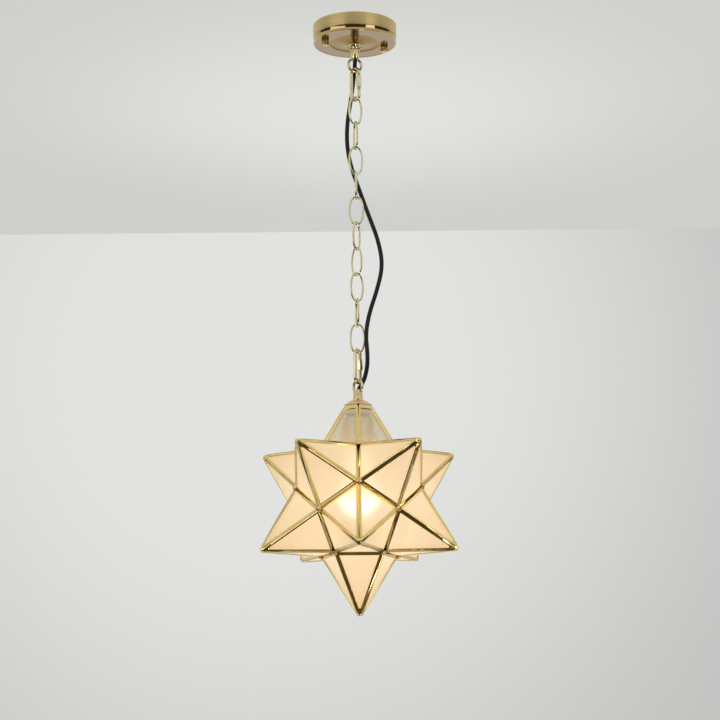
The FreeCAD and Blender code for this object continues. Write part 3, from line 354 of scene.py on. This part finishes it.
def sharpen(item, angle=35.0):
    """Keep edges crisp where two faces meet at more than an angle."""
    mesh = bmesh.new()
    mesh.from_mesh(item.data)
    for edge in mesh.edges:
        if len(edge.link_faces) == 2:
            edge.smooth = edge.calc_face_angle(0.0) < math.radians(angle)
    mesh.to_mesh(item.data)
    mesh.free()


def ring_faces(rings, sides, closed=False):
    """The quads between rings of vertices. Closed joins the last ring to the first."""
    faces = []
    for ring in range(rings if closed else rings - 1):
        low = ring * sides
        high = ((ring + 1) % rings) * sides
        for side in range(sides):
            after = (side + 1) % sides
            faces.append((low + side, low + after, high + after, high + side))
    return faces


def turned(name, profile, material, segments):
    """A turned ring-shaped solid from the radii and heights of its closed profile, in metres."""
    vertices = []
    for radius, height in profile:
        for step in range(segments):
            angle = 2 * math.pi * step / segments
            vertices.append((radius * math.cos(angle), radius * math.sin(angle), height))
    item = add_mesh(name, vertices, ring_faces(len(profile), segments, closed=True), material)
    fix_normals(item)
    sharpen(item)
    return item


def fix_normals(item):
    mesh = bmesh.new()
    mesh.from_mesh(item.data)
    bmesh.ops.recalc_face_normals(mesh, faces=mesh.faces)
    mesh.to_mesh(item.data)
    mesh.free()


def bent_wire(name, path, radius, material, sides=16):
    """A round wire along a closed path in the XZ plane."""
    count = len(path)
    vertices = []
    for index, point in enumerate(path):
        ahead = (path[(index + 1) % count] - path[index - 1]).normalized()
        out = Vector((ahead.z, 0.0, -ahead.x))
        for side in range(sides):
            angle = 2 * math.pi * side / sides
            vertices.append(point + out * (radius * math.cos(angle))
                            + Vector((0.0, radius * math.sin(angle), 0.0)))
    item = add_mesh(name, vertices, ring_faces(count, sides, closed=True), material)
    fix_normals(item)
    return item


def stand(item, height, yaw):
    """Turn a piece about the vertical and lift it to its height, in its mesh."""
    item.data.transform(Matrix.Translation((0.0, 0.0, height)) @ Matrix.Rotation(math.radians(yaw), 4, "Z"))
    return item


def merge(name, items):
    """Join several meshes that have one material into the first one."""
    mesh = bmesh.new()
    for item in items:
        mesh.from_mesh(item.data)
    first = items[0]
    mesh.to_mesh(first.data)
    mesh.free()
    first.name = name
    for item in items[1:]:
        bpy.data.objects.remove(item)
    return first


def place(item, body, slot, *nodes):
    """Tie a piece to its body and let it stand for the nodes it replaces. The slot is not used."""
    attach(item, body)
    if nodes:
        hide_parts(*nodes)


# --- camera ---

def add_camera():
    """The photograph's view: 97 mm lens, slightly below the star, looking up."""
    data = bpy.data.cameras.new("camera")
    data.sensor_width = SENSOR_WIDTH
    data.lens = SENSOR_WIDTH * FOCAL_PIXELS / PICTURE_WIDTH
    data.clip_start = 0.05
    data.clip_end = 50.0
    camera = bpy.data.objects.new("camera", data)
    bpy.context.collection.objects.link(camera)
    camera.matrix_world = (Matrix.Translation(CAMERA_PLACE)
                           @ Matrix.Rotation(math.radians(CAMERA_PAN), 4, "Z")
                           @ Matrix.Rotation(math.radians(90.0 + CAMERA_LIFT), 4, "X")
                           @ Matrix.Rotation(math.radians(CAMERA_ROLL), 4, "Z"))
    bpy.context.scene.camera = camera


# --- cord ---

def route_line():
    """The points of a smooth line over the cord's route."""
    data = bpy.data.curves.new("cord_route", "CURVE")
    data.dimensions = "3D"
    data.resolution_u = 24
    spline = data.splines.new("NURBS")
    spline.points.add(len(CORD_ROUTE) - 1)
    for point, spot in zip(spline.points, CORD_ROUTE):
        point.co = (spot[0] * MM, spot[1] * MM, spot[2] * MM, 1.0)
    spline.order_u = 3
    spline.use_endpoint_u = True
    holder = bpy.data.objects.new("cord_route", data)
    bpy.context.collection.objects.link(holder)
    bpy.context.view_layer.update()
    mesh = bpy.data.meshes.new_from_object(holder)
    points = [vertex.co.copy() for vertex in mesh.vertices]
    bpy.data.objects.remove(holder)
    if points[0].z < points[-1].z:
        points.reverse()
    return points


def along(points):
    """The length of the line up to each of its points."""
    reach = [0.0]
    for before, after in zip(points[:-1], points[1:]):
        reach.append(reach[-1] + (after - before).length)
    return reach


def add_cord(train):
    """The cord in one length of tube for each joint of the train."""
    radius = CORD_RADIUS
    sides = 16
    points = route_line()
    reach = along(points)
    rings = []
    side = Vector((1.0, 0.0, 0.0))
    for index, point in enumerate(points):
        ahead = (points[min(index + 1, len(points) - 1)] - points[max(index - 1, 0)]).normalized()
        side = (side - ahead * side.dot(ahead)).normalized()
        other = ahead.cross(side)
        rings.append([point + side * (radius * math.cos(2 * math.pi * k / sides))
                      + other * (radius * math.sin(2 * math.pi * k / sides)) for k in range(sides)])
    levels = [points[0].z] + [stop[1] for stop in train[1:-1]] + [points[-1].z]
    cuts = [min(range(len(points)), key=lambda i: abs(points[i].z - level)) for level in levels]
    for number, (first, last) in enumerate(zip(cuts[:-1], cuts[1:])):
        ends = (first == 0, last == len(points) - 1)
        item = cord_piece("cord_%02d" % (number + 1), rings[first:last + 1], reach[first:last + 1], ends)
        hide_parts("power_cord")
        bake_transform(item)


def cord_piece(name, rings, reach, ends):
    """One length of the cord with its UV map, closed at the cord's own ends."""
    sides = len(rings[0])
    vertices = [corner for ring in rings for corner in ring]
    faces = ring_faces(len(rings), sides)
    if ends[0]:
        faces.append(tuple(reversed(range(sides))))
    if ends[1]:
        faces.append(tuple(range(len(vertices) - sides, len(vertices))))
    item = add_mesh(name, vertices, faces, CORD)
    marks = item.data.uv_layers.new(name="UVMap")
    for face in item.data.polygons[:(len(rings) - 1) * sides]:
        side = face.index % sides
        row = face.index // sides
        spots = ((side, row), (side + 1, row), (side + 1, row + 1), (side, row + 1))
        for corner, (across, up) in zip(face.loop_indices, spots):
            marks.data[corner].uv = (across / sides, reach[up])
    return item


# --- canopy ---

def add_canopy():
    """The spun cover in four finishes: brushed wall, polished cove, flat seat and brushed crown. The seat
    and the crown also have painted shade: darker base colours for the underside and its recess.
    """
    segments = 128
    wall = [(60.3, 0.0), (60.3, -17.2), (60.1, -18.0), (59.6, -18.4), (58.4, -17.6), (59.1, -15.0),
            (59.1, 0.0)]
    cove = [(59.6, -18.4), (60.0, -18.7), (59.8, -19.2), (59.3, -20.4), (58.8, -22.0), (58.5, -23.6),
            (58.5, -24.6), (58.9, -25.3), (59.7, -25.6), (59.9, -26.1), (59.5, -26.6), (58.4, -26.7),
            (57.4, -26.2), (56.6, -25.0), (57.4, -23.4), (58.4, -18.4)]
    seat = [(57.4, -26.2), (48.0, -26.25), (40.0, -26.25), (37.0, -26.2), (37.0, -25.0), (56.6, -25.0)]
    crown = [(37.0, -26.2), (36.5, -26.1), (35.8, -25.5), (35.0, -25.1), (33.5, -25.0), (30.0, -25.1),
             (26.0, -25.5), (22.0, -26.0), (19.0, -26.5), (16.0, -27.2), (13.5, -27.9), (11.5, -28.6),
             (10.0, -29.1), (9.0, -29.2), (5.4, -29.2), (5.4, -28.0), (9.0, -27.8), (16.0, -26.0),
             (30.0, -23.9), (36.0, -23.9), (37.0, -25.0)]
    for name, profile, material in (("canopy_wall", wall, CANOPY),
                                    ("canopy_cove", cove, CANOPY_POLISHED),
                                    ("canopy_seat", seat, CANOPY_SEAT),
                                    ("canopy_crown", crown, CANOPY_CROWN)):
        piece = turned(name, [(r * MM, z * MM) for r, z in profile], material, segments)
        place(piece, "mount", "canopy_brass")
    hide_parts("canopy_shell")


def knurled_nut():
    """A thumb nut: two fluted bands with a groove between them, plain collars and a domed foot."""
    flutes = 20
    knurl_depth = 0.45
    rows = [(4.3, 0.0, 0), (4.8, -0.3, 0), (4.8, -0.7, 0), (5.5, -1.1, 1), (5.5, -3.4, 1), (5.1, -3.8, 0),
            (5.1, -4.2, 0), (5.5, -4.6, 1), (5.5, -6.6, 1), (4.9, -7.0, 0), (4.7, -7.5, 0), (3.9, -7.9, 0),
            (2.0, -8.0, 0)]
    sides = flutes * 4
    vertices = []
    for radius, height, knurl in rows:
        for side in range(sides):
            depth = knurl_depth * (side % 4 in (0, 3)) * knurl
            angle = 2 * math.pi * side / sides
            reach = (radius - depth) * MM
            vertices.append((reach * math.cos(angle), reach * math.sin(angle), height * MM))
    faces = [tuple(range(sides)), tuple(range((len(rows) - 1) * sides, len(rows) * sides))]
    item = add_mesh("thumb_nut", vertices, faces + ring_faces(len(rows), sides), NUT)
    fix_normals(item)
    sharpen(item, 28.0)
    return item


def add_thumb_nuts():
    made = []
    angle = math.radians(BRACKET_TURN)
    for sign in (-1, 1):
        nut = knurled_nut()
        nut.data.transform(Matrix.Translation((sign * NUT_OFFSET * math.cos(angle),
                                               sign * NUT_OFFSET * math.sin(angle), NUT_SEAT)))
        made.append(nut)
    place(merge("thumb_nuts_turned", made), "mount", "nut_brass", "thumb_nuts")


# --- loops, links and quick links ---

def circle_line(radius, steps=64):
    angles = [2 * math.pi * k / steps for k in range(steps)]
    return [Vector((radius * math.cos(angle), 0.0, radius * math.sin(angle))) for angle in angles]


def stadium_line(half_length, half_width, steps=18):
    """Two straight sides with half circles at the ends."""
    straight = half_length - half_width
    points = []
    for end, shift in ((1, straight), (-1, -straight)):
        for step in range(steps + 1):
            angle = math.pi * step / steps
            points.append(Vector((end * half_width * math.cos(angle), 0.0,
                                  shift + end * half_width * math.sin(angle))))
    return points


def oval_line(half_length, half_width, fullness, steps=64):
    """An oval whose sides and ends are a little flatter than an ellipse's."""
    end_fullness = 0.94
    points = []
    for k in range(steps):
        angle = 2 * math.pi * k / steps
        across = math.cos(angle)
        up = math.sin(angle)
        points.append(Vector((half_width * math.copysign(abs(across) ** fullness, across), 0.0,
                              half_length * math.copysign(abs(up) ** end_fullness, up))))
    return points


def add_loop(name, ring_z, yaw, profile, node, body):
    """A turned stem with a ring at its end."""
    stem = turned(name + "_stem", [(r * MM, z * MM) for r, z in profile], LOOP, segments=64)
    ring = stand(bent_wire(name + "_ring", circle_line(RING_RADIUS), RING_WIRE, LOOP), ring_z, yaw)
    place(merge(name + "_turned", [stem, ring]), body, "loop_brass", node)


def add_upper_loop():
    """Ring, stem and bead under the canopy."""
    profile = [(9.0, -29.2), (8.2, -29.8), (6.9, -31.2), (6.2, -33.0), (6.0, -34.6), (6.6, -35.0),
               (7.5, -35.6), (7.7, -36.3), (7.5, -37.1), (6.6, -37.8), (6.0, -38.1), (5.9, -38.8),
               (5.9, -49.2), (5.5, -50.0), (4.6, -50.0), (3.6, -48.6), (3.5, -40.0), (3.5, -29.2)]
    add_loop("upper_loop", -59.3 * MM, UPPER_RING_YAW, profile, "upper_loop", "mount")


def add_lower_loop():
    """Ring, stem and flared foot on the star's cap."""
    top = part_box("star_cap")[1][2] / MM
    profile = [(8.0, top), (8.0, top + 0.9), (7.4, top + 1.5), (6.9, top + 2.4), (6.7, top + 3.6),
               (6.7, top + 14.6), (6.2, top + 15.4), (5.3, top + 15.5), (3.8, top + 13.8), (3.5, top + 6.0),
               (3.5, top)]
    add_loop("lower_loop", (top + 20.4) * MM, LOWER_RING_YAW, profile, "lower_loop", "star")


def add_chain():
    """Ten ovals. The last one has fuller sides, which keep it clear of the lower quick link."""
    for number, yaw in enumerate(CHAIN_YAWS, start=1):
        node = "chain_link_%02d" % number
        fullness = LAST_LINK_FULLNESS if number == LINK_COUNT else LINK_FULLNESS
        line = oval_line(LINK_HALF_LENGTH, LINK_HALF_WIDTH, fullness)
        link = stand(bent_wire("oval_%02d" % number, line, LINK_WIRE, CHAIN), middle_z(node), yaw)
        place(link, "link_%02d" % number, "chain_brass", node)


def add_quick_link(which, yaw):
    """A quick link's wire, with a thread where it meets the nut, and its barrel nut."""
    node = which + "_quick_link"
    height = middle_z(node)
    line = stadium_line(QUICK_HALF_LENGTH, QUICK_HALF_WIDTH)
    wire = stand(bent_wire(which + "_quick_wire", line, QUICK_WIRE, CHAIN), height, yaw)
    nut_z = 3.0
    threads = []
    for start in (nut_z + 8.2, nut_z - 12.8):
        thread = threaded_end(which + "_thread", start)
        thread.data.transform(Matrix.Translation((QUICK_HALF_WIDTH, 0.0, 0.0)))
        threads.append(stand(thread, height, yaw))
    place(merge(which + "_quick_link_bent", [wire] + threads), which + "_hook", "chain_brass", node)
    nut = barrel_nut(which + "_quick_nut_milled")
    nut.data.transform(Matrix.Translation((QUICK_HALF_WIDTH, 0.0, nut_z * MM)))
    place(stand(nut, height, yaw), which + "_hook_nut", "chain_brass", which + "_quick_nut")


def threaded_end(name, start):
    """Six crests of a thread round the wire, from a height in millimetres upwards."""
    crests = 6
    pitch = 0.75
    bore = 2.2
    foot = 2.42
    crest = 2.62
    rows = []
    for turn in range(crests):
        level = start + turn * pitch
        rows += [(foot, level), (crest, level + 0.25), (foot, level + 0.5)]
    rows += [(bore, rows[-1][1]), (bore, rows[0][1])]
    return turned(name, [(r * MM, z * MM) for r, z in rows], CHAIN, segments=24)


def barrel_nut(name):
    """A hexagonal sleeve with chamfered round ends."""
    half = 8.0
    across = 3.9
    bore = 2.65
    rows = [(3.1, -half), (3.45, -half), (3.75, -half + 0.6), (across, -half + 1.4), (across, half - 1.4),
            (3.75, half - 0.6), (3.45, half), (3.1, half), (bore, half - 0.3), (bore, -half + 0.3)]
    sides = 36
    vertices = []
    for radius, height in rows:
        for side in range(sides):
            angle = 2 * math.pi * side / sides
            sector = (angle + math.pi / 6) % (math.pi / 3) - math.pi / 6
            flat = across * math.cos(math.pi / 6) / math.cos(sector)
            reach = min(radius, flat) if radius > bore else radius
            vertices.append((reach * MM * math.cos(angle), reach * MM * math.sin(angle), height * MM))
    item = add_mesh(name, vertices, ring_faces(len(rows), sides, closed=True), CHAIN)
    fix_normals(item)
    sharpen(item, 25.0)
    return item


# --- star ---

def flatten_ridges(mesh, tip, valleys):
    """Cut a narrow flat along each of the five ridges of a point's cames."""
    near = sorted(valleys, key=lambda spot: (spot - tip).length)[:5]
    for valley in near:
        along_ridge = (tip - valley).normalized()
        outward = (tip - along_ridge * tip.dot(along_ridge)).normalized()
        reach = max(vertex.co.dot(outward) for vertex in mesh.verts)
        parts = list(mesh.verts) + list(mesh.edges) + list(mesh.faces)
        bmesh.ops.bisect_plane(mesh, geom=parts, dist=0.000001, plane_co=outward * (reach - RIDGE_CUT),
                               plane_no=outward, clear_outer=True)
        rims = [edge for edge in mesh.edges if edge.is_boundary]
        bmesh.ops.holes_fill(mesh, edges=rims, sides=0)


def eased_came(node, body, tip, centre, valleys):
    """A point's cames with flat ridges and eased edges, shown in the node's place."""
    source = NODES[node]
    mesh = bmesh.new()
    mesh.from_mesh(source.data)
    bmesh.ops.remove_doubles(mesh, verts=mesh.verts, dist=0.00001)
    bmesh.ops.dissolve_limit(mesh, angle_limit=math.radians(1.0), verts=mesh.verts, edges=mesh.edges)
    inward = Matrix.Translation(-centre) @ source.matrix_world
    mesh.transform(inward)
    flatten_ridges(mesh, tip, valleys)
    mesh.transform(inward.inverted())
    edges = [edge for edge in mesh.edges if len(edge.link_faces) == 2
             and edge.calc_face_angle(0.0) > math.radians(20.0)]
    bmesh.ops.bevel(mesh, geom=edges, offset=CAME_EASING, segments=2, profile=0.6, affect="EDGES",
                    clamp_overlap=True)
    data = bpy.data.meshes.new(node + "_eased")
    mesh.to_mesh(data)
    mesh.free()
    item = bpy.data.objects.new(node + "_eased", data)
    bpy.context.collection.objects.link(item)
    item.matrix_world = source.matrix_world
    for face in data.polygons:
        face.use_smooth = True
    dress(item, CAME)
    sharpen(item, 40.0)
    place(item, body, "came_brass", node)


def star_valleys():
    """The twenty inner corners of the star, where three points meet."""
    level = math.sqrt((5 + 2 * math.sqrt(5.0)) / 15)
    corner = math.sqrt((10 - 2 * math.sqrt(5.0)) / 15)
    spots = []
    for turn in point_turns():
        for k in range(5):
            angle = math.radians(126.0 + 72.0 * k)
            foot = Vector((corner * math.cos(angle), corner * math.sin(angle), level)) * CORE_RADIUS
            spot = turn @ foot
            if all((spot - other).length > 0.002 for other in spots):
                spots.append(spot)
    return spots


def point_turns():
    """The turns that bring an upright point to each of the twelve places."""
    tilt = math.atan(2.0)
    over = Matrix.Rotation(math.pi, 3, "X")
    turns = [Matrix.Identity(3), over]
    outwards = Matrix.Rotation(-tilt, 3, "X") @ Matrix.Rotation(math.pi, 3, "Z")
    for k in range(5):
        fifth = Matrix.Rotation(math.radians(72 * k), 3, "Z")
        turns.append(fifth @ outwards)
        turns.append(fifth @ over @ outwards)
    return turns


def solder_blob(name, centre, radius, squash, axis):
    """A drop of solder: an uneven flattened ball."""
    unevenness = 0.05
    mesh = bmesh.new()
    bmesh.ops.create_icosphere(mesh, subdivisions=3, radius=radius)
    for vertex in mesh.verts:
        direction = vertex.co.normalized()
        wave = (math.sin(9.0 * direction.x + centre.x * 900.0)
                + math.sin(8.0 * direction.y + centre.y * 700.0)
                + math.sin(7.0 * direction.z + centre.z * 800.0))
        vertex.co *= 1.0 + unevenness * wave
        vertex.co.z *= squash
    turn = Vector((0.0, 0.0, 1.0)).rotation_difference(axis).to_matrix().to_4x4()
    bmesh.ops.transform(mesh, matrix=Matrix.Translation(centre) @ turn, verts=mesh.verts)
    data = bpy.data.meshes.new(name)
    mesh.to_mesh(data)
    mesh.free()
    item = bpy.data.objects.new(name, data)
    bpy.context.collection.objects.link(item)
    for face in data.polygons:
        face.use_smooth = True
    dress(item, SOLDER)
    return item


def add_star():
    """Cames, panes and solder of the twelve points. The second point is the door."""
    centre = star_centre()
    valleys = star_valleys()
    tips = [turn @ Vector((0.0, 0.0, STAR_RADIUS)) for turn in point_turns()]
    for number in range(1, 13):
        body = "door" if number == 2 else "star"
        low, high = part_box("came_point_%02d" % number)
        middle = (Vector(low) + Vector(high)) / 2 - centre
        tip = min(tips, key=lambda spot: (spot - middle).length)
        eased_came("came_point_%02d" % number, body, tip, centre, valleys)
        node = NODES["glass_point_%02d" % number]
        dress(node, NODE_MATERIALS.get(node.name, GLASS_WITH_PAINTED_GLOW))
    blobs = []
    for spot in valleys:
        blobs.append(solder_blob("blob", centre + spot * SOLDER_REACH, SOLDER_RADIUS, SOLDER_SQUASH,
                                 spot.normalized()))
    place(merge("valley_solder", blobs), "star", "came_brass")


def star_centre():
    """The star's centre, measured down from the cap's lower rim."""
    return Vector((0.0, 0.0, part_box("star_cap")[0][2] - CAP_ABOVE_CENTRE))


# --- stage, light and world ---

def one_sided(name, colour, edge, spot, reach):
    """Paint seen from inside the room only, with painted light: brightest at a spot and a little darker
    away from it.

    From behind it lets the view through. Metal and glass show it as the camera does.
    """
    glow_share = 0.75
    shader = Shader(name, Roughness=0.9, Specular_IOR_Level=0.1)
    # Painted light: the colour shades from the bright colour at the spot to the darker edge colour with
    # distance.
    distance = shader.add("ShaderNodeVectorMath", {0: shader.coordinates.outputs["Object"], 1: spot},
                          operation="DISTANCE")
    painted_falloff = shader.add("ShaderNodeMapRange", {"Value": distance.outputs["Value"], "From Min": reach[0],
                                             "From Max": reach[1]}, interpolation_type="SMOOTHSTEP")
    paint = shader.tint(painted_falloff.outputs["Result"], colour, edge)
    shader.join(paint, "Base Color")
    shine = shader.add("ShaderNodeEmission", {"Color": paint})
    rays = shader.add("ShaderNodeLightPath").outputs
    through = shader.add("ShaderNodeMath", {0: rays["Is Transmission Ray"], 1: rays["Is Glossy Ray"]},
                         operation="MAXIMUM")
    seen = shader.add("ShaderNodeMath", {0: rays["Is Camera Ray"], 1: through.outputs["Value"]},
                      operation="MAXIMUM")
    share = shader.add("ShaderNodeMath", {0: seen.outputs["Value"], 1: glow_share}, operation="MULTIPLY")
    matt = shader.surface.outputs["BSDF"]
    front = shader.add("ShaderNodeMixShader", {"Fac": share.outputs["Value"], 1: matt,
                                               2: shine.outputs["Emission"]})
    behind = shader.add("ShaderNodeNewGeometry").outputs["Backfacing"]
    clear = shader.add("ShaderNodeBsdfTransparent").outputs["BSDF"]
    final = shader.add("ShaderNodeMixShader", {"Fac": behind, 1: front.outputs["Shader"], 2: clear})
    shader.tree.links.new(final.outputs["Shader"], shader.output.inputs["Surface"])
    return shader.material


def add_stage():
    """Ceiling, back wall and floor of a pale room."""
    half = 4.0
    ceiling_front = -1.2
    floor_front = -0.3
    back = 1.172
    top = 0.001
    floor = -2.4
    wide_fade = (0.3, 1.3)
    # Each sheet's paint has painted light: lighter at its spot, darker towards its edge colour.
    ceiling_paint = one_sided("ceiling_paint", srgb(247, 249, 246), srgb(227, 229, 226),
                              (0.0, 0.4, 0.0), (0.05, 0.7))
    wall_paint = one_sided("wall_paint", srgb(247, 248, 246), srgb(210, 211, 209),
                           (-0.2, back, -0.25), wide_fade)
    floor_paint = one_sided("floor_paint", srgb(216, 214, 209), srgb(206, 205, 201),
                            (0.0, 0.5, floor), wide_fade)
    sheets = {
        "ceiling": ([(-half, ceiling_front, top), (-half, back, top), (half, back, top),
                     (half, ceiling_front, top)], ceiling_paint),
        "wall": ([(-half, back, floor), (half, back, floor), (half, back, top), (-half, back, top)],
                 wall_paint),
        "floor": ([(-half, floor_front, floor), (half, floor_front, floor), (half, back, floor),
                   (-half, back, floor)], floor_paint),
    }
    for name, (corners, material) in sheets.items():
        sheet = add_mesh(name, corners, [(0, 1, 2, 3)], material, smooth=False)


def add_area(name, location, target, width, height, power):
    data = bpy.data.lights.new(name, "AREA")
    data.shape = "RECTANGLE"
    data.size = width
    data.size_y = height
    data.energy = power
    lamp = bpy.data.objects.new(name, data)
    bpy.context.collection.objects.link(lamp)
    lamp.location = location
    lamp.rotation_euler = (Vector(target) - Vector(location)).to_track_quat("-Z", "Y").to_euler()


def add_lights():
    """Two large soft lamps in front, to the left and the right, and a small one from below."""
    middle = (0.0, 0.0, -0.5)
    add_area("key_left", (-1.75, -1.6, 0.05), middle, width=2.0, height=1.8, power=15.0)
    add_area("key_right", (1.6, -1.7, -0.1), middle, width=1.1, height=1.8, power=9.0)
    add_area("low_fill", (0.7, -1.7, -2.2), middle, width=0.4, height=0.4, power=8.0)


def add_world():
    """A room that is pale above and dark below, which gives the brass its dark reflections."""
    dark_up_to = 0.16
    pale_from = 0.4
    world = bpy.data.worlds.new("room")
    bpy.context.scene.world = world
    world.use_nodes = True
    tree = world.node_tree
    nodes = tree.nodes
    background = nodes["Background"]
    coordinates = nodes.new("ShaderNodeTexCoord")
    split = nodes.new("ShaderNodeSeparateXYZ")
    tree.links.new(coordinates.outputs["Generated"], split.inputs["Vector"])
    dark = nodes.new("ShaderNodeMapRange")
    dark.interpolation_type = "SMOOTHSTEP"
    for socket, value in (("From Min", dark_up_to), ("From Max", pale_from),
                          ("To Min", 1.0), ("To Max", 0.0)):
        dark.inputs[socket].default_value = value
    tree.links.new(split.outputs["Z"], dark.inputs["Value"])
    colour = nodes.new("ShaderNodeMix")
    colour.data_type = "RGBA"
    tree.links.new(dark.outputs["Result"], colour.inputs[0])
    colour.inputs[6].default_value = srgb(219, 220, 218)
    colour.inputs[7].default_value = srgb(66, 58, 50)
    tree.links.new(colour.outputs[2], background.inputs["Color"])
    background.inputs["Strength"].default_value = 1.0


def main():
    for name, node in NODES.items():
        if name in NODE_MATERIALS:
            dress(node, NODE_MATERIALS[name])
    add_camera()
    links = [("link_%02d" % k, middle_z("chain_link_%02d" % k)) for k in range(1, LINK_COUNT + 1)]
    train = [("mount", 0.0), ("upper_hook", middle_z("upper_quick_link"))] + links
    train += [("lower_hook", middle_z("lower_quick_link")), ("star", 0.0)]
    add_cord(train)
    add_canopy()
    add_thumb_nuts()
    add_upper_loop()
    add_quick_link("upper", UPPER_QUICK_YAW)
    add_chain()
    add_quick_link("lower", LOWER_QUICK_YAW)
    add_lower_loop()
    add_star()
    add_stage()
    add_lights()
    add_world()
    bpy.context.scene.view_settings.view_transform = "Standard"


main()
